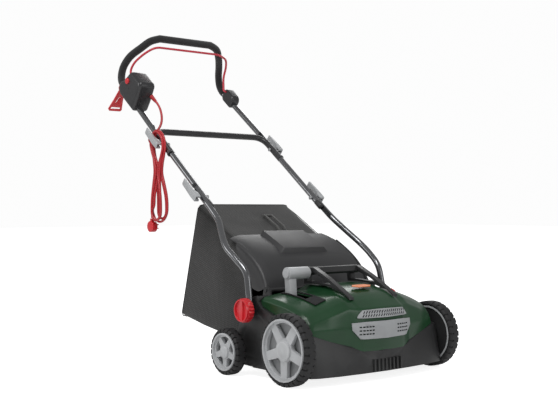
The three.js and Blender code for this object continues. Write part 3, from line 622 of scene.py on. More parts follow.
def cut_away(piece: bpy.types.Object, cutter: bpy.types.Object) -> None:
    """Cut one closed shape out of a piece and drop the shape.

    Args:
        piece: The piece.
        cutter: The shape to remove.
    """
    apply_modifier(piece, "BOOLEAN", object=cutter, operation="DIFFERENCE", solver="EXACT")
    bpy.data.objects.remove(cutter, do_unlink=True)


def cutting_block(middle: Vector, size: Triple, tilt: float = 0.0) -> bpy.types.Object:
    """Make a block to cut with.

    Args:
        middle: Its middle.
        size: Its three sizes in metres.
        tilt: Turn about X in radians.

    Returns:
        The block.
    """
    deselect()
    bpy.ops.mesh.primitive_cube_add(size=1.0, location=middle, rotation=(tilt, 0, 0), scale=size)
    block = bpy.context.object
    settle(block)
    return block


def between(x: tuple[float, float], y: tuple[float, float], z: tuple[float, float]) -> bpy.types.Object:
    """Make a cutting block from its limits in millimetres, laid out from the front axle."""
    low, high = at(x[0], y[0], z[0]), at(x[1], y[1], z[1])
    return cutting_block((low + high) / 2, tuple(high - low))


def turned(name: str, profile: list[tuple[float, float]], centre: Vector, steps: int) -> bpy.types.Object:
    """Spin a closed profile about an axis along X.

    Args:
        name: Name of the piece.
        profile: Pairs of radius and X in metres, closed by the last point.
        centre: A point on the axis; its X isn't used.
        steps: Faces round the axis.

    Returns:
        The turned piece.
    """
    deselect()
    radius, x = profile[0]
    start = Vector((x, centre.y, centre.z + radius))
    bpy.ops.mesh.primitive_plane_add(size=0.001, location=start)
    piece = bpy.context.object
    piece.name = piece.data.name = name
    settle(piece)
    moves = [(x1 - x0, 0.0, r1 - r0) for (r0, x0), (r1, x1) in zip(profile, [*profile[1:], profile[0]])]
    edit(piece, partial(bpy.ops.mesh.merge, type="CENTER"),
         *[partial(bpy.ops.mesh.extrude_region_move, TRANSFORM_OT_translate={"value": move}) for move in moves],
         partial(bpy.ops.mesh.select_all, action="SELECT"),
         partial(bpy.ops.mesh.spin, steps=steps, angle=2 * math.pi, center=(0.0, centre.y, centre.z),
                 axis=(1.0, 0.0, 0.0)))
    tidy_mesh(piece)
    return piece


def shaped_grid(name: str, rows: list[list[Vector]]) -> bpy.types.Object:
    """Lay a grid over rows of points.

    Args:
        name: Name of the piece.
        rows: Rows of equal length.

    Returns:
        The grid, one face between each four points.
    """
    across, along = len(rows[0]), len(rows)
    deselect()
    bpy.ops.mesh.primitive_grid_add(x_subdivisions=across - 1, y_subdivisions=along - 1, size=1.0)
    piece = bpy.context.object
    piece.name = piece.data.name = name
    for i, vertex in enumerate(piece.data.vertices):
        vertex.co = rows[i // across][i % across]
    return piece


# ---------------------------------------------------------------- studio
@dataclass
class Studio:
    """The floor, the soft lights and the camera."""

    floor_colour: Colour = (0.86, 0.86, 0.86)
    floor_size: float = 40.0
    floor_glow: tuple[float, float] = (0.12, 0.85)  # as the lights meet it, and as it is seen
    room_light: float = 0.38
    backdrop: float = 0.98
    lens: float = 62.66
    stand: Triple = (-1.9806, -2.50396, 0.4849)
    heading: float = -39.35
    middle: Triple = (0.0, 0.0, 0.45)
    lights: list[tuple[str, Triple, float, float]] = field(default_factory=lambda: [
        ("key_light", (-1.4, -1.0, 2.8), 40.0, 1.2),
        ("side_light", (-2.6, 1.4, 1.7), 13.0, 1.2),
        ("back_light", (1.8, 1.9, 2.3), 22.0, 1.4),
        ("front_light", (0.8, -3.0, 1.3), 9.0, 1.2),
    ])

    def camera(self) -> bpy.types.Object:
        """Stand the camera at the front corner, low and level.

        Returns:
            The camera.
        """
        data = bpy.data.cameras.new("camera")
        data.lens, data.sensor_width, data.sensor_fit = self.lens, 36.0, "HORIZONTAL"
        camera = bpy.data.objects.new("camera", data)
        camera.location = self.stand
        camera.rotation_euler = (math.radians(90), 0.0, math.radians(self.heading))
        bpy.context.scene.collection.objects.link(camera)
        bpy.context.scene.camera = camera
        return camera

    def build(self) -> None:
        """Lay the floor and hang the lights."""
        deselect()
        bpy.ops.mesh.primitive_plane_add(size=self.floor_size, location=(0.0, 0.0, 0.0))
        floor = bpy.context.object
        floor.name = "floor"
        pale = Finish("floor_pale", "deck_plastic", self.floor_colour, Grain.MOULDED, 0.8, fine=30, bump=0.00001,
                      vary=0.01, wear=0.0).material()
        tree = pale.node_tree
        shader = tree.nodes["Principled BSDF"]
        shader.inputs["Emission Color"].default_value = (1.0, 1.0, 1.0, 1.0)
        ray = tree.nodes.new("ShaderNodeLightPath")
        glow = add_node(tree, "MapRange", {"Value": ray.outputs["Is Camera Ray"]},
                        {"To Min": self.floor_glow[0], "To Max": self.floor_glow[1]})
        tree.links.new(glow.outputs["Result"], shader.inputs["Emission Strength"])
        floor.data.materials.append(pale)
        self._room()
        for name, where, power, size in self.lights:
            lamp = bpy.data.lights.new(name, "AREA")
            lamp.energy, lamp.size = power, size
            light = bpy.data.objects.new(name, lamp)
            light.location = where
            aim = Vector(self.middle) - Vector(where)
            light.rotation_euler = aim.to_track_quat("-Z", "Y").to_euler()
            bpy.context.scene.collection.objects.link(light)
        bpy.context.scene.view_settings.view_transform = "Standard"

    def _room(self) -> None:
        """Fill the room with soft light, and let it be seen nearly white."""
        world = bpy.data.worlds.new("studio")
        bpy.context.scene.world = world
        world.use_nodes = True
        tree = world.node_tree
        soft = tree.nodes["Background"]
        soft.inputs["Color"].default_value = (1.0, 1.0, 1.0, 1.0)
        soft.inputs["Strength"].default_value = self.room_light
        seen = tree.nodes.new("ShaderNodeBackground")
        seen.inputs["Color"].default_value = (self.backdrop, self.backdrop, self.backdrop, 1.0)
        ray = tree.nodes.new("ShaderNodeLightPath")
        either = tree.nodes.new("ShaderNodeMixShader")
        tree.links.new(ray.outputs["Is Camera Ray"], either.inputs["Fac"])
        tree.links.new(soft.outputs["Background"], either.inputs[1])
        tree.links.new(seen.outputs["Background"], either.inputs[2])
        tree.links.new(either.outputs["Shader"], tree.nodes["World Output"].inputs["Surface"])


# ---------------------------------------------------------------- mains lead
@dataclass
class MainsLead:
    """The red mains lead: strain relief, free stretch, hank and plug."""

    diameter: float = 0.008
    pitch: float = 4.7
    free: list[Triple] = field(default_factory=lambda: [
        (-188, 829, 853), (-186, 821, 845), (-183, 811, 829), (-182, 803, 810), (-184, 797, 790),
        (-191, 792, 771), (-203, 789, 754), (-219, 787, 741), (-235, 781, 731), (-246, 775, 722),
        (-251, 768, 712)])
    # Outline of the hank's upper half, down its rear side and up its front side over the clamp.
    rear_side: list[tuple[float, float]] = field(default_factory=lambda: [
        (763, 722), (759, 700), (752, 672), (739, 640), (730, 605), (732, 580)])
    front_side: list[tuple[float, float]] = field(default_factory=lambda: [
        (688, 575), (690, 603), (688, 632), (681, 660), (675, 690), (682, 722), (704, 743), (730, 749), (751, 733),
        (759, 700)])
    # Each turn's distance from the hank's rear and front edge at the bottom, its lowest point and its layer.
    folds: list[tuple[float, float, float, float]] = field(default_factory=lambda: [
        (0, 0, 441, -250.8), (7, 30, 447, -258.6), (34, 7, 452, -250.8), (19, 15, 446, -266.2),
        (27, 12, 450, -262.0)])
    # Each turn's depth inside the outline over the clamp, and its X there.
    over: list[tuple[float, float]] = field(default_factory=lambda: [
        (0, -248.6), (8, -248.6), (16, -248.6), (4, -254.6), (12, -254.6)])
    tail: list[Triple] = field(default_factory=lambda: [(-262, 731, 478), (-259.5, 737.5, 466), (-257, 741, 454)])

    def _upper(self, points: list[tuple[float, float]], inside: list[float], layer: list[float]) -> list[Vector]:
        """Set the upper strands of a turn inside the hank's outline.

        Args:
            points: The outline, with one point more at both ends.
            inside: Distance of each point from the outline.
            layer: X of each point.

        Returns:
            The points.
        """
        made = []
        for before, here, after, depth, x in zip(points, points[1:], points[2:], inside, layer):
            way = (Vector(after) - Vector(before)).normalized()
            spot = Vector(here) + Vector((way.y, -way.x)) * depth
            made.append(at(x, spot.x, spot.y))
        return made

    def _hank(self) -> list[Vector]:
        """Wind the hank over the clamp bolt, its lower folds spread over each other.

        Returns:
            The points of the hank.
        """
        points = []
        for turn, (from_rear, from_front, low, x) in enumerate(self.folds):
            waist = -250.8 if turn % 2 == 0 else -257.6
            deep, held = self.over[turn][0], self.pitch * turn
            top_x = self.over[turn][1]
            points += self._upper(self.rear_side, [deep, 0.7 * deep + 0.3 * held, 0.3 * deep + 0.7 * held, held],
                                  [top_x, 0.7 * top_x + 0.3 * waist, 0.3 * top_x + 0.7 * waist, waist])
            back, fore = 748 - from_rear, 658 + from_front
            middle, radius = (back + fore) / 2, (back - fore) / 2
            left, right = 730 - self.pitch * turn, 690 + self.pitch * turn
            fall = ((0.4, 568), (0.85, 528), (1.0, max(495.0, low + radius + 6)))
            for share, z in fall:
                points.append(at(waist + (x - waist) * share, left + (back - left) * share, z))
            if turn == len(self.folds) - 1:
                break
            for angle in (-22, -56, -90, -124, -158):
                turn_at = math.radians(angle)
                points.append(at(x, middle + radius * math.cos(turn_at), low + radius + radius * math.sin(turn_at)))
            for share, z in reversed(fall):
                points.append(at(waist + (x - waist) * share, right + (fore - right) * share, z))
            next_deep, next_x = self.over[turn + 1]
            points += self._upper(
                self.front_side,
                [held, 0.7 * held + 0.3 * deep, 0.3 * held + 0.7 * deep,
                 *[deep + (next_deep - deep) * k / 6 for k in range(1, 6)]],
                [waist, 0.7 * waist + 0.3 * top_x, 0.3 * waist + 0.7 * top_x,
                 *[top_x + (next_x - top_x) * k / 6 for k in range(1, 6)]])
        return points

    def build(self) -> list[bpy.types.Object]:
        """Make the lead and the pieces on it.

        Returns:
            The lead, its strain relief and its plug.
        """
        route = [at(*p) for p in self.free] + self._hank() + [at(*p) for p in self.tail]
        line = through(route, 0.005)
        cable = curve_of("mains_lead", line, self.diameter / 2, 3)
        finish_piece(cable, RED_RUBBER, "upper_handle", "mains_cord", "cord_hank")
        relief = self._relief(line[0], line[1])
        plug = Softened("mains_plug", RED_PLASTIC, edge=0.0016, segments=3, angle=30).build()
        return [cable, relief, plug]

    def _relief(self, first: Vector, second: Vector) -> bpy.types.Object:
        """Mould the ribbed, tapering strain relief.

        Args:
            first: First point of the lead.
            second: Its next point.

        Returns:
            The strain relief.
        """
        way = (first - second).normalized()
        tip, root = first + way * 0.0003, first + way * 0.038
        line, swell = [], []
        for i in range(33):
            t = i / 32
            line.append(tip.lerp(root, t))
            groove = 0.86 if i % 4 == 2 and i < 26 else 1.0
            swell.append((5.2 + 3.3 * t) / 8.5 * groove)
        relief = bar("strain_relief_ribbed", line, 0.0085, 5, swell)
        return finish_piece(relief, RED_RUBBER, "upper_handle", "strain_relief")


# ---------------------------------------------------------------- cover and deck
def deck_top(y: float) -> float:
    """Height of the deck's sloping top at a distance behind the front axle."""
    return 137 + (y + 40) * 0.332


@dataclass
class Bonnet:
    """The green motor cover with its grilles, badge and handles."""

    stations: dict[float, list[tuple[float, float]]] = field(default_factory=lambda: {
        0: [(165, 261), (119, 265), (51, 262), (-14, 247), (-46, 227), (-80, 203), (-92, 150), (-90, 84)],
        80: [(165, 258), (119, 262), (51, 259), (-13, 243), (-42, 225), (-73, 203), (-83, 150), (-81, 86)],
        92: [(165, 252), (119, 256), (51, 253), (-12, 239), (-40, 223), (-69, 203), (-79, 150), (-77, 89)],
        118: [(165, 243), (119, 245), (51, 243), (-14, 238), (-40, 224), (-62, 205), (-70, 150), (-68, 99)],
        180: [(165, 239), (119, 239), (51, 231), (-9, 217), (-32, 204), (-52, 186), (-60, 150), (-56, 118)],
        238: [(165, 231), (119, 228), (51, 215), (-4, 197), (-21, 185), (-36, 167), (-43, 152), (-45, 138)],
        249: [(165, 221), (119, 216), (51, 205), (2, 190), (-12, 179), (-26, 163), (-33, 150), (-36, 139.5)],
    })
    wall: float = 0.003
    slot_x: tuple[float, float] = (-186.5, -157.5)
    slot_y: tuple[float, float] = (42, 142)
    ridges: dict[int, float] = field(default_factory=lambda: {
        0: 1.0, 1: 0.85, 2: 0.7, 3: 0.5, 4: 0.92, 5: 0.85, 6: 0.55, 7: 0.2})
    edges: dict[int, float] = field(default_factory=lambda: {0: 1.0, 1: 0.8, 5: 0.7, 6: 0.85, 7: 0.8, 8: 1.0})

    def _rows(self) -> list[list[Vector]]:
        """Lay out the cover's points from one side to the other.

        Returns:
            One row per station, each from the rear foot over the top to the front edge.
        """
        rows = []
        half = [(x, [(165, deck_top(165)), *points]) for x, points in self.stations.items()]
        foot = [(y, max(deck_top(y), 0) + 0.4 if z > deck_top(y) else z) for y, z in half[-1][1]]
        half.append((249.2, foot))
        for x, points in [(-x, p) for x, p in reversed(half) if x] + half:
            rows.append([at(x, y, z) for y, z in points])
        return rows

    def shell(self) -> bpy.types.Object:
        """Form the glossy cover.

        Returns:
            The cover.
        """
        rows = self._rows()
        cover = shaped_grid("motor_cover_skin", rows)
        mesh = cover.data
        across = len(rows[0])
        crease = mesh.attributes.new("crease_edge", "FLOAT", "EDGE")
        last = len(rows) - 1
        for edge in mesh.edges:
            a, b = sorted(edge.vertices)
            row_a, row_b, col_a = a // across, b // across, a % across
            if row_a == row_b:
                crease.data[edge.index].value = self.ridges.get(min(row_a, last - row_a), 0.4)
            else:
                crease.data[edge.index].value = self.edges.get(col_a, 0.2)
        apply_modifier(cover, "SUBSURF", levels=3, render_levels=3)
        face_out(cover, (0, 0, 1))
        apply_modifier(cover, "SOLIDIFY", thickness=self.wall, offset=-1.0)
        cut_away(cover, between(self.slot_x, self.slot_y, (185, 275)))
        smooth(cover, 40)
        return finish_piece(cover, COVER_GREEN, "deck", "motor_cover")

    def guide(self) -> bpy.types.Object:
        """Make the black notched guide round the depth lever's slot.

        Returns:
            The guide.
        """
        rows = []
        for x in (self.slot_x[0] - 5, *self.slot_x, self.slot_x[1] + 5):
            rows.append([at(x, y, z + 1.8 + (x + 172) * rise) for y, z, rise in (
                (-4, 220.8, 0.33), (20, 225.9, 0.27), (42, 230.6, 0.23), (60, 233.5, 0.2), (90, 236.7, 0.15),
                (119, 239.8, 0.113), (142, 239.7, 0.12), (147, 239.7, 0.12))])
        guide = shaped_grid("lever_guide", rows)
        low, high = (at(x, y, 0) for x, y in zip(self.slot_x, self.slot_y))

        def in_slot(face: bmesh.types.BMFace) -> bool:
            """Tell whether a face lies over the slot."""
            spot = face.calc_center_median()
            return low.x < spot.x < high.x and low.y < spot.y < high.y

        edit(guide, partial(bpy.ops.mesh.delete, type="FACE"), chosen=in_slot)
        face_out(guide, (0, 0, 1))
        apply_modifier(guide, "SOLIDIFY", thickness=0.003, offset=0.0)
        for y in (58, 74, 90, 106):
            cut_away(guide, between((-158.5, -155.0), (y, y + 7), (200, 260)))
        soften(guide, width=0.0007, segments=2, degrees=35)
        smooth(guide, 40)
        return finish_piece(guide, SLOT_DARK, "deck")

    def _slotted(self, node: str, slots: list[tuple[float, float, float, float, float]]) -> bpy.types.Object:
        """Sink slots into a front panel.

        Args:
            node: The panel's name.
            slots: For each slot its X, Z, half length, half height and lean in degrees.

        Returns:
            The panel.
        """
        panel = Softened(node, GRILLE_GREY, edge=0.0009, segments=3, angle=30, shade=40).build()
        panel.data.materials.append(SLOT_DARK.material())
        cutters = []
        for x, z, half, tall, lean in slots:
            depth = self._face(panel, x / 1000, z / 1000)
            deselect()
            bpy.ops.mesh.primitive_cube_add(size=1.0, location=(x / 1000, depth + 0.0008, z / 1000),
                                            rotation=(0.0, math.radians(lean), 0.0),
                                            scale=(2 * half / 1000, 0.0042, 2 * tall / 1000))
            cutter = bpy.context.object
            settle(cutter)
            cutters.append(cutter)
        deselect()
        for cutter in cutters:
            cutter.select_set(True)
            cutter.data.materials.append(SLOT_DARK.material())
        bpy.context.view_layer.objects.active = cutters[0]
        bpy.ops.object.join()
        cut_away(panel, cutters[0])
        smooth(panel, 40)
        return panel

    @staticmethod
    def _face(panel: bpy.types.Object, x: float, z: float) -> float:
        """Y of the panel's front face behind a point seen from the front.

        Args:
            panel: The panel.
            x: The point's X.
            z: The point's Z.

        Returns:
            Y of the face, or the panel's front when nothing is met.
        """
        hit, where, _, _ = panel.ray_cast(Vector((x, -2.0, z)), Vector((0.0, 1.0, 0.0)))
        return where.y if hit else min(v.co.y for v in panel.data.vertices)

    def badge(self) -> bpy.types.Object:
        """Make the plain badge with a raised rim.

        Returns:
            The badge.
        """
        plate = Softened("badge_plate", BADGE, edge=0.0, segments=2).build()
        take(plate)
        bpy.ops.transform.translate(value=(0.0, -0.0004, 0.0016))
        settle(plate)
        edit(plate, partial(bpy.ops.mesh.inset, thickness=0.0022, depth=0.0),
             partial(bpy.ops.mesh.inset, thickness=0.0006, depth=-0.0007), chosen=lambda face: face.normal.z > 0.8)
        soften(plate, width=0.0003, segments=2, degrees=40)
        smooth(plate, 40)
        return plate

    def build(self) -> list[bpy.types.Object]:
        """Make the cover and all that is fixed to it.

        Returns:
            The pieces.
        """
        lower = [(side * x, z, 3.9, 1.9, 0.0) for side in (-1, 1) for x in (50, 60.5, 71, 81.5, 92)
                 for z in (134, 144, 154)]
        upper = [(5 + 9.4 * i + (4 if z > 190 else 0), z, 4.6, 1.5, -48.0) for i in range(-9, 9)
                 for z in (184.5, 194)]
        return [self.shell(), self.guide(), self._slotted("grille_lower", lower),
                self._slotted("grille_upper", upper),
                self.badge(), Softened("carry_handle", TRIM_PLASTIC, edge=0.0035, segments=4, angle=30).build(),
                Softened("deck_housing", DECK_PLASTIC, edge=0.0026, segments=3, angle=28, shade=42).build()]


@dataclass
class Drive:
    """Motor, belt, pulleys, reel and bearings under the cover."""

    pieces: tuple[tuple[str, Finish, float], ...] = (
        ("motor_housing", MOTOR_STEEL, 0.002), ("motor_rotor", STEEL, 0.0008), ("motor_pulley", TRIM_PLASTIC, 0.0008),
        ("drive_belt", BELT_RUBBER, 0.0006), ("tine_reel", STEEL, 0.0005), ("reel_pulley", TRIM_PLASTIC, 0.001),
        ("reel_bearing_left", BEARING, 0.0015), ("reel_bearing_right", BEARING, 0.0015))

    def build(self) -> list[bpy.types.Object]:
        """Make the drive's pieces."""
        return [Softened(node, finish, edge=edge, segments=2, angle=32,
                         shade=35).build() for node, finish, edge in self.pieces]


# ---------------------------------------------------------------- wheels
@dataclass
class Wheel:
    """A spoked wheel with a lugged rubber tyre.

    Attributes:
        end: "front" or "rear".
        y: Distance behind the front axle.
        radius: Radius in millimetres, and its height over the ground.
        rim: Radius of the hub.
        width: Width of the tyre.
        outer: X of the hub's outer face.
        lugs: Number of lugs round the tread.
    """

    end: str
    y: float
    radius: float
    rim: float
    width: float
    outer: float
    lugs: int

    def _tyre(self, name: str, side: int) -> bpy.types.Object:
        """Turn the tyre and cut the grooves between its lugs.

        Args:
            name: "left" or "right".
            side: 1 or -1.

        Returns:
            The tyre.
        """
        r_in, r_out = self.rim + 0.5, self.radius
        x0, x1 = self.outer - self.width, self.outer - 1.5
        profile = [(r_in, x0 + 2), (r_out - 9, x0), (r_out - 4, x0 + 1.2), (r_out - 0.4, x0 + 5), (r_out, x0 + 13),
                   (r_out, x1 - 13), (r_out - 0.4, x1 - 5), (r_out - 4, x1 - 1.2), (r_out - 9, x1), (r_in, x1 - 3)]
        scaled = [(r / 1000, side * x / 1000) for r, x in profile]
        centre = at(0, self.y, self.radius)
        steps = self.lugs * 4
        node = f"{self.end}_tyre_{name}"
        tyre = turned(node + "_lugged", scaled, centre, steps)
        middle_x = side * (x0 + x1) / 2000

        def in_groove(face: bmesh.types.BMFace) -> bool:
            """Tell whether a face of the tread lies between two lugs.

            Args:
                face: The face.

            Returns:
                True in a groove.
            """
            spot = face.calc_center_median()
            reach = math.hypot(spot.y - centre.y, spot.z - centre.z)
            sector = int((math.atan2(spot.z - centre.z, spot.y - centre.y) % (2 * math.pi)) / (2 * math.pi) * steps)
            outside = (spot.x - middle_x) * side > 0
            groove = sector % 4 == (0 if outside else 2)
            return reach > (self.radius - 7.5) / 1000 and groove and abs(spot.x - middle_x) >= 0.006

        edit(tyre, partial(bpy.ops.mesh.extrude_region_shrink_fatten,
                           TRANSFORM_OT_shrink_fatten={"value": -0.0032}), chosen=in_groove)
        soften(tyre, width=0.0007, segments=2, degrees=35)
        smooth(tyre, 42)
        return finish_piece(tyre, TYRE_RUBBER, body_of_node(node), node)

    def build(self) -> list[bpy.types.Object]:
        """Make both wheels of the axle.

        Returns:
            The tyres and hubs.
        """
        made = []
        for name, side in SIDES:
            made.append(self._tyre(name, side))
            made.append(Softened(f"{self.end}_hub_{name}", HUB_PLASTIC, edge=0.0013, segments=3, angle=32,
                                 shade=35).build())
            made += self._discs(name, side)
        return made

    def _discs(self, name: str, side: int) -> list[bpy.types.Object]:
        """Turn the dish behind the spokes, greyed darker as painted shade, the black dust cover inside and the cap on
        the boss.

        Args:
            name: "left" or "right".
            side: 1 or -1.

        Returns:
            The three turned pieces.
        """
        boss, inside = self.rim * 0.34 + 0.2, self.rim - 5.2
        face, back = self.outer - 3, self.outer - self.width + 3
        shapes = {
            # the dish's darker grey is painted shade inside the hub, behind the spokes
            "dish": (HUB_DISH_PAINTED_SHADE, [(boss, face - 22), (inside, face - 17.5), (inside, face - 19), (boss, face - 23.5)]),
            "dust_cover": (DECK_PLASTIC, [(boss, back + 1), (boss + 8, back + 4), (inside, back + 4),
                                          (inside, back + 2.6), (boss + 8, back + 2.6), (boss, back - 0.4)]),
            "boss_cap": (HUB_PLASTIC, [(0.2, face + 2.6), (boss * 0.45, face + 2.4), (boss * 0.7, face + 1.5),
                                       (boss * 0.82, face + 0.1), (0.2, face + 0.1)]),
        }
        made = []
        body = body_of_node(f"{self.end}_hub_{name}")
        for kind, (finish, profile) in shapes.items():
            disc = turned(f"{self.end}_{kind}_{name}", [(r / 1000, side * x / 1000) for r, x in profile],
                          at(0, self.y, self.radius), 64)
            smooth(disc, 40)
            made.append(finish_piece(disc, finish, body))
        return made


@dataclass
class RunningGear:
    """Axles, depth lever and the four wheels."""

    front: Wheel = field(default_factory=lambda: Wheel("front", 0, 100, 86, 41, 309.5, 30))
    rear: Wheel = field(default_factory=lambda: Wheel("rear", 259, 68, 55, 38, 318, 24))

    def build(self) -> list[bpy.types.Object]:
        """Make the running gear.

        Returns:
            The pieces.
        """
        return [*self.front.build(), *self.rear.build(), Softened("crank_axle", STEEL, edge=0.0008, segments=2,
                                                                  angle=35).build(),
                Softened("rear_axle", STEEL, edge=0.0006, segments=2, angle=35).build(),
                Softened("depth_lever", LEVER_GREY, edge=0.0035, segments=4, angle=32).build()]


# ---------------------------------------------------------------- flap and bag
@dataclass
class GrassBag:
    """The rear flap and the woven grass bag behind it."""

    mouth_low: tuple[float, float] = (226, 84)
    mouth_high: tuple[float, float] = (343, 372)
    rear_low: tuple[float, float] = (592, 137)
    rear_high: tuple[float, float] = (570, 500)
    half_low: tuple[float, float] = (238, 242)
    half_high: tuple[float, float] = (192, 190)
    corner: float = 17.0
    around: int = 96
    along: int = 26
    closing: int = 10
    cheek_crown: tuple[tuple[float, float], ...] = (
        (188, 254), (196, 272), (214, 300), (245, 331), (292, 362), (338, 384))
    cheek_foot: tuple[tuple[float, float], ...] = (
        (206, 246), (224, 239), (250, 247), (278, 263), (302, 299), (323, 348))
    cheek_bulge: tuple[tuple[float, float], ...] = (
        (198, 0.0), (206, 0.03), (212, 0.16), (215, 0.4), (216, 0.7), (215, 1.0))

    def _section(self, t: float, u: float, grow: float = 0.0) -> Vector:
        """Give a point on the bag's skin.

        Args:
            t: 0 at the mouth to 1 at the rear.
            u: 0 to 1 round the section, from the bottom's middle.
            grow: Distance by which the skin stands proud, in millimetres.

        Returns:
            The point in metres.
        """
        low = [a + (b - a) * t for a, b in zip(self.mouth_low, self.rear_low)]
        high = [a + (b - a) * t for a, b in zip(self.mouth_high, self.rear_high)]
        w_low = self.half_low[0] + (self.half_low[1] - self.half_low[0]) * t
        w_high = self.half_high[0] + (self.half_high[1] - self.half_high[0]) * t
        tall = math.hypot(high[0] - low[0], high[1] - low[1])
        across, up = self._outline(u, w_low + grow, w_high + grow, tall + grow)
        share = up / tall
        return at(across, low[0] + (high[0] - low[0]) * share, low[1] + (high[1] - low[1]) * share)

    def _outline(self, u: float, w_low: float, w_high: float, tall: float) -> tuple[float, float]:
        """Walk round a rounded, tapering section.

        Args:
            u: 0 to 1 from the bottom's middle round to it again.
            w_low: Half width at the bottom.
            w_high: Half width at the top.
            tall: Height.

        Returns:
            Distance across and height.
        """
        mirrored = u > 0.5
        s = (1 - u if mirrored else u) * 2
        c = self.corner
        corners = [Vector((0, 0)), Vector((w_low, 0)), Vector((w_high, tall)), Vector((0, tall))]
        line = [Vector((0, 0))]
        for before, here, after in zip(corners, corners[1:], corners[2:]):
            enter = here + (before - here).normalized() * c
            leave = here + (after - here).normalized() * c
            line += [enter.lerp(here, k / 6).lerp(here.lerp(leave, k / 6), k / 6) for k in range(7)]
        line.append(corners[-1])
        lengths = [0.0]
        for a, b in zip(line, line[1:]):
            lengths.append(lengths[-1] + (b - a).length)
        want = s * lengths[-1]
        for k in range(len(line) - 1):
            if want <= lengths[k + 1]:
                part = line[k].lerp(line[k + 1], (want - lengths[k]) / max(lengths[k + 1] - lengths[k], 1e-6))
                return (-part.x if mirrored else part.x), part.y
        return (-line[-1].x if mirrored else line[-1].x), line[-1].y

    def _skin_point(self, j: int, i: int) -> Vector:
        """Give a point of the cloth, with its sag and folds.

        Args:
            j: Row, from the mouth over the sides and then in over the rear.
            i: Place round the row.

        Returns:
            The point in metres.
        """
        u = i / self.around
        if j <= self.along:
            t = j / self.along
            spot = self._section(t, u, -2.0)
            free = math.sin(math.pi * t)
            slack = 0.5 + 0.5 * math.cos(2 * math.pi * u)
            spot.z -= 0.007 * free * slack ** 2
            spot.z -= 0.006 * free * (0.5 - 0.5 * math.cos(2 * math.pi * u)) ** 4
            fold = noise.noise(spot * 7.0 + Vector((3, 5, 1))) * 0.004 + noise.noise(spot * 21.0) * 0.0012
            middle = self._section(t, 0.0).lerp(self._section(t, 0.5), 0.5)
            return spot + (spot - middle).normalized() * fold * (0.25 + 0.75 * free)
        share = (j - self.along) / self.closing
        rim = self._section(1.0, u, -2.0)
        middle = self._section(1.0, 0.0).lerp(self._section(1.0, 0.5), 0.48)
        spot = rim.lerp(middle, share * 0.999)
        crown = 0.004 * math.sin(0.5 * math.pi * share) + noise.noise(spot * 9.0) * 0.003 * share
        return spot + Vector((0.0, crown, 0.0))

    def cloth(self) -> bpy.types.Object:
        """Sew the bag.

        Returns:
            The bag's cloth.
        """
        rows = [[self._skin_point(j, i) for i in range(self.around + 1)]
                for j in range(self.along + self.closing + 1)]
        bag = shaped_grid("bag_cloth", rows)
        layer = bag.data.uv_layers[0] if bag.data.uv_layers else bag.data.uv_layers.new(name="threads")
        across = self.around + 1
        for face in bag.data.polygons:
            for loop in face.loop_indices:
                index = bag.data.loops[loop].vertex_index
                j, i = divmod(index, across)
                point = bag.data.vertices[index].co
                laid_out = (1.45 * i / self.around, 0.30 * j / self.along)
                layer.data[loop].uv = (point.x, point.z) if j > self.along else laid_out
        crease = bag.data.attributes.new("crease_edge", "FLOAT", "EDGE")
        for edge in bag.data.edges:
            if {v // across for v in edge.vertices} == {self.along}:
                crease.data[edge.index].value = 0.9
        tidy_mesh(bag, 0.00005)
        face_out(bag, (0, 1, 0))
        apply_modifier(bag, "SOLIDIFY", thickness=0.0012, offset=-1.0)
        apply_modifier(bag, "SUBSURF", levels=1, render_levels=1)
        smooth(bag, 60)
        finish_piece(bag, BAG_FABRIC, "bag", "bag_body")
        return bag

    def piping(self) -> list[bpy.types.Object]:
        """Run corded seams round the rear and along the top corners.

        Returns:
            The seams.
        """
        rear = [self._section(1.0, k / 120, -2.6) for k in range(121)]
        made = [bar("bag_seam_rear", rear, 0.0018, 2)]
        for name, side in SIDES:
            near = 0.5 - side * 0.128
            line = [self._skin_point(j, round(near * self.around)) + Vector((0, 0, 0.0006))
                    for j in range(self.along + 1)]
            made.append(bar(f"bag_seam_{name}", line, 0.0012, 2))
        return [finish_piece(seam, BAG_TRIM, "bag") for seam in made]

    def cheek(self, name: str, side: int) -> bpy.types.Object:
        """Form the rounded side of the flap that closes the gap before the bag.

        Args:
            name: "left" or "right".
            side: 1 or -1.

        Returns:
            The cheek.
        """
        rows = []
        for x, share in self.cheek_bulge:
            rows.append([at(side * x, a + (c - a) * share, b + (d - b) * share)
                         for (a, b), (c, d) in zip(self.cheek_crown, self.cheek_foot)])
        cheek = shaped_grid(f"flap_cheek_{name}", rows)
        apply_modifier(cheek, "SUBSURF", levels=2, render_levels=2)
        face_out(cheek, (side, 0, 0))
        apply_modifier(cheek, "SOLIDIFY", thickness=0.003, offset=-1.0)
        smooth(cheek, 40)
        return finish_piece(cheek, FLAP_PLASTIC, "flap")

    def build(self) -> list[bpy.types.Object]:
        """Make the flap and the bag.

        Returns:
            The pieces.
        """
        return [self.cloth(), *self.piping(), *[self.cheek(name, side) for name, side in SIDES],
                Softened("bag_frame", TRIM_PLASTIC, edge=0.0015, segments=2, angle=35).build(),
                Softened("bag_handle", WEBBING, edge=0.0008, segments=2, angle=35).build(),
                Softened("rear_flap", FLAP_PLASTIC, edge=0.003, segments=4, angle=25, shade=45).build()]


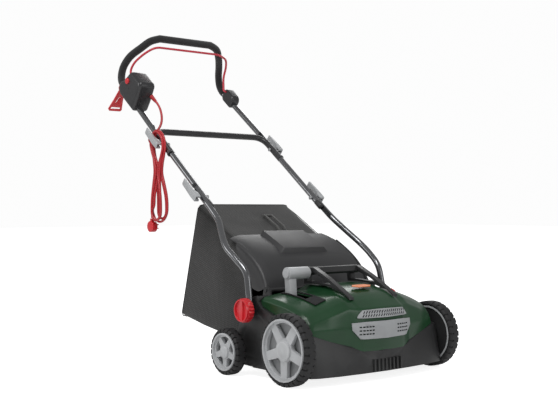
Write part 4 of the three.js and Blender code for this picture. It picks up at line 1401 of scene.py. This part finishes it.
# ---------------------------------------------------------------- handle
@dataclass
class FoldingHandle:
    """The three tube sections, their clamps, levers, knobs and caps."""

    outer: float = 234.0
    inner: float = 230.0
    split: float = 232.15
    lower_bends: list[Triple] = field(default_factory=lambda: [
        (272, 193, 235), (270, 211, 299), (275, 252, 336), (275, 300, 370), (258, 346, 409), (239, 392, 450.5)])
    carved: tuple[str, ...] = ("side_knob", "lower_cam", "upper_cam")
    fittings: tuple[tuple[str, Finish, float], ...] = (
        ("side_knob", RED_PLASTIC, 0.0006), ("leg_cap", TRIM_PLASTIC, 0.001), ("tube_cap", TRIM_PLASTIC, 0.001),
        ("lower_bolt", STEEL, 0.0008), ("upper_bolt", STEEL, 0.0008), ("lower_cam", LEVER_GREY, 0.0018),
        ("upper_cam", LEVER_GREY, 0.0018))
    hoop: list[Triple] = field(default_factory=lambda: [
        (225, 945, 884.5), (221, 995, 923.5), (216, 1013, 955), (209, 1011, 990), (195, 989, 1026),
        (169, 956, 1056), (144, 935, 1079), (110, 927, 1091)])

    def hoop_line(self, from_tube: bool) -> list[Vector]:
        """Draw the grip's hoop from one side to the other.

        Args:
            from_tube: True to start at the clamps, False for the gripped part alone.

        Returns:
            The line.
        """
        points = self.hoop if from_tube else self.hoop[1:]
        half = through([at(*p) for p in points])
        start = [on_handle(UPPER_CLAMP, self.outer, -47)] if from_tube else []
        left = start + half
        right = [Vector((-p.x, p.y, p.z)) for p in reversed(left)]
        return left + right

    def upper(self) -> list[bpy.types.Object]:
        """Bend the upper tube and slip the foam over it.

        Returns:
            The tube and the foam grip.
        """
        tube = bar("upper_tube_bent", self.hoop_line(True), TUBE_R / 1000, 6)
        for _, side in SIDES:
            inside, outside = sorted((side * 150, side * self.split))
            cut_away(tube, between((inside, outside), (620, 781), (620, 770)))
        smooth(tube, 40)
        finish_piece(tube, TUBE_PAINT, "upper_handle", "upper_tube")
        line = self.hoop_line(False)
        swell = [1.0 - 0.14 * max(0.0, 1 - min(i, len(line) - 1 - i) / 2) for i in range(len(line))]
        foam = bar("foam_sleeve", line, 0.0134, 7, swell)
        finish_piece(foam, FOAM, "upper_handle", "foam_grip")
        return [tube, foam]

    def crossbar(self) -> bpy.types.Object:
        """Bend the black crossbar.

        Returns:
            The crossbar.
        """
        half = [on_handle(UPPER_CLAMP, self.inner, -57.7), on_handle(UPPER_CLAMP, self.inner, 76)]
        points = [*half, *[Vector((-p.x, p.y, p.z)) for p in reversed(half)]]
        cross = bar("crossbar_bent", rounded(points, 0.044, 14), 0.011, 6)
        for _, side in SIDES:
            inside, outside = sorted((side * (self.split - 0.3), side * 300))
            cut_away(cross, between((inside, outside), (596, 816), (587, 807)))
        smooth(cross, 40)
        return finish_piece(cross, BLACK_PAINT, body_of_node("crossbar"), "crossbar")

    def lower_tube(self, name: str, side: int) -> bpy.types.Object:
        """Bend a lower tube from its side knob up to its clamp.

        Args:
            name: "left" or "right".
            side: 1 or -1.

        Returns:
            The tube.
        """
        points = [at(side * x, y, z) for x, y, z in self.lower_bends]
        points.append(on_handle(LOWER_CLAMP, side * (self.outer + 1), -50))
        line = [at(side * 272, 187, 177), *through(points), on_handle(LOWER_CLAMP, side * self.outer, 38)]
        tube = bar(f"lower_tube_{name}_bent", line, TUBE_R / 1000, 6)
        inside, outside = sorted((side * 150, side * self.split))
        cut_away(tube, between((inside, outside), (395, 560), (430, 620)))
        smooth(tube, 40)
        node = f"lower_tube_{name}"
        return finish_piece(tube, TUBE_PAINT, body_of_node(node), node)

    def middle_leg(self, name: str, side: int) -> bpy.types.Object:
        """Make a straight middle leg with its half lap.

        Args:
            name: "left" or "right".
            side: 1 or -1.

        Returns:
            The leg.
        """
        start = on_handle(LOWER_CLAMP, side * self.inner, -22)
        end = on_handle(UPPER_CLAMP, side * self.inner, -58)
        leg = bar(f"mid_leg_{name}_straight", [start, end], TUBE_R / 1000, 6)
        middle = on_handle(LOWER_CLAMP, side * (self.split - 0.3 + 14), 0)
        cut_away(leg, cutting_block(middle, (0.028, 0.12, 0.04), SLOPE))
        smooth(leg, 40)
        node = f"mid_leg_{name}"
        return finish_piece(leg, TUBE_PAINT, body_of_node(node), node)

    def build(self) -> list[bpy.types.Object]:
        """Make the handle's pieces.

        Returns:
            The pieces.
        """
        made = [*self.upper(), self.crossbar()]
        for name, side in SIDES:
            made += [self.lower_tube(name, side), self.middle_leg(name, side)]
            made += [Softened(f"{piece}_{name}", finish, edge=edge, segments=3, angle=32, shade=38,
                              whole_faces=piece not in self.carved).build()
                     for piece, finish, edge in self.fittings]
        return made


@dataclass
class Controls:
    """Switch box, button, bail, pivot cap and cable hook."""

    bail_bends: list[Triple] = field(default_factory=lambda: [
        (205, 974, 985), (211, 965, 1020), (198, 946, 1048), (146, 918, 1058), (-138, 910, 1056), (-168, 936, 1034),
        (-190, 968, 1004), (-199, 982, 974)])
    box_outline: list[tuple[float, float]] = field(default_factory=lambda: [
        (219, -12), (327, -13), (349, 0), (350, 26), (331, 40), (311, 86), (300, 94), (233, 94), (224, 86),
        (216, 28), (216, -6)])
    cap_outline: list[tuple[float, float]] = field(default_factory=lambda: [
        (294, -13.5), (348, -13.5), (357, -6), (357, 28), (348, 35), (300, 32), (288, 20), (288, -7)])

    def bail(self) -> bpy.types.Object:
        """Bend the red bail.

        Returns:
            The bail.
        """
        pivot = on_handle(UPPER_CLAMP, 0, 346, 24)
        y, z = (pivot.y + FRONT_TO_MIDDLE) * 1000, pivot.z * 1000
        corners = [(222, y, z), (199, y, z), *self.bail_bends, (-199, y, z), (-222, y, z)]
        rod = bar("bail_bar_bent", rounded([at(*p) for p in corners], 0.026, 8), 0.004, 4)
        return finish_piece(rod, RED_PAINT, "bail", "bail_bar")

    def pod(self, name: str, outline: list[tuple[float, float]], ends: tuple[float, float], round_off: float,
            shrink: float) -> bpy.types.Object:
        """Mould a rounded housing that sits on the tube.

        Args:
            name: Its name.
            outline: Its side view, as distances along and square to the handle from the upper clamp.
            ends: X of its two ends.
            round_off: Reach of the roundings of its side view in millimetres.
            shrink: Size of its ends as a share of its middle.

        Returns:
            The housing.
        """
        flat = [Vector((a, b, 0.0)) for a, b in outline]
        middle = sum(flat, Vector()) / len(flat)
        start = flat[0].lerp(flat[-1], 0.5)
        ring = rounded([start, *flat, start], round_off, 6)
        x0, x1 = ends
        steps = [(0.0, 0.02), (0.0, 0.45), (0.0, shrink * 0.93)]
        for turn in map(math.radians, (12, 30, 50, 70, 90)):
            steps.append((0.25 * (1 - math.cos(turn)) * 0.7, shrink + (1 - shrink) * math.sin(turn)))
        places = [(x0 + (x1 - x0) * t, k) for t, k in steps] + [(x1 - (x1 - x0) * t, k) for t, k in reversed(steps)]
        rows = []
        for x, size in places:
            rows.append([on_handle(UPPER_CLAMP, x, *(middle + (p - middle) * size).xy) for p in ring])
        pod = shaped_grid(name, rows)
        tidy_mesh(pod, 0.0002)
        self._bore(pod, on_handle(UPPER_CLAMP, 0, 346, 24), 0.0046, 0.5)
        return pod

    @staticmethod
    def _bore(pod: bpy.types.Object, middle: Vector, radius: float, length: float) -> None:
        """Drill along X.

        Args:
            pod: The piece to drill.
            middle: Middle of the bore.
            radius: Its radius in metres.
            length: Its length in metres.
        """
        deselect()
        bpy.ops.mesh.primitive_cylinder_add(vertices=40, radius=radius, depth=length, location=middle,
                                            rotation=(0.0, math.pi / 2, 0.0))
        drill = bpy.context.object
        settle(drill)
        cut_away(pod, drill)

    def housings(self) -> list[bpy.types.Object]:
        """Mould the switch box and the pivot cap.

        Returns:
            Both housings.
        """
        box = self.pod("switch_box_moulded", self.box_outline, (-251.5, -186.5), 14, 0.80)
        self._bore(box, at(-251.5, 911, 927), 0.0113, 0.008)
        cap = self.pod("pivot_cap_moulded", self.cap_outline, (243.6, 208.4), 8, 0.8)
        for piece, node in ((box, "switch_box"), (cap, "pivot_cap")):
            smooth(piece, 45)
            finish_piece(piece, BOX_PLASTIC, body_of_node(node), node)
        return [box, cap]

    def build(self) -> list[bpy.types.Object]:
        """Make the controls.

        Returns:
            The pieces.
        """
        return [self.bail(), *self.housings(),
                Softened("safety_button", RED_PLASTIC, edge=0.002, segments=4, angle=35).build(),
                Softened("cable_hook", RED_PLASTIC, edge=0.001, segments=3, angle=32).build()]


def main() -> None:
    """Build the machine, one sub-assembly after another."""
    logging.basicConfig(level=logging.INFO, format="%(name)s: %(message)s")
    studio = Studio()
    studio.camera()
    assemblies = [MainsLead(), Bonnet(), Drive(), RunningGear(), GrassBag(), FoldingHandle(), Controls()]
    for assembly in assemblies:
        for piece in assembly.build():
            log.info("%s: %s, %d points", type(assembly).__name__, piece.name,
                     len(piece.data.vertices) if piece.type == "MESH" else 0)
    studio.build()
    deselect()


if __name__ == "__main__":
    main()
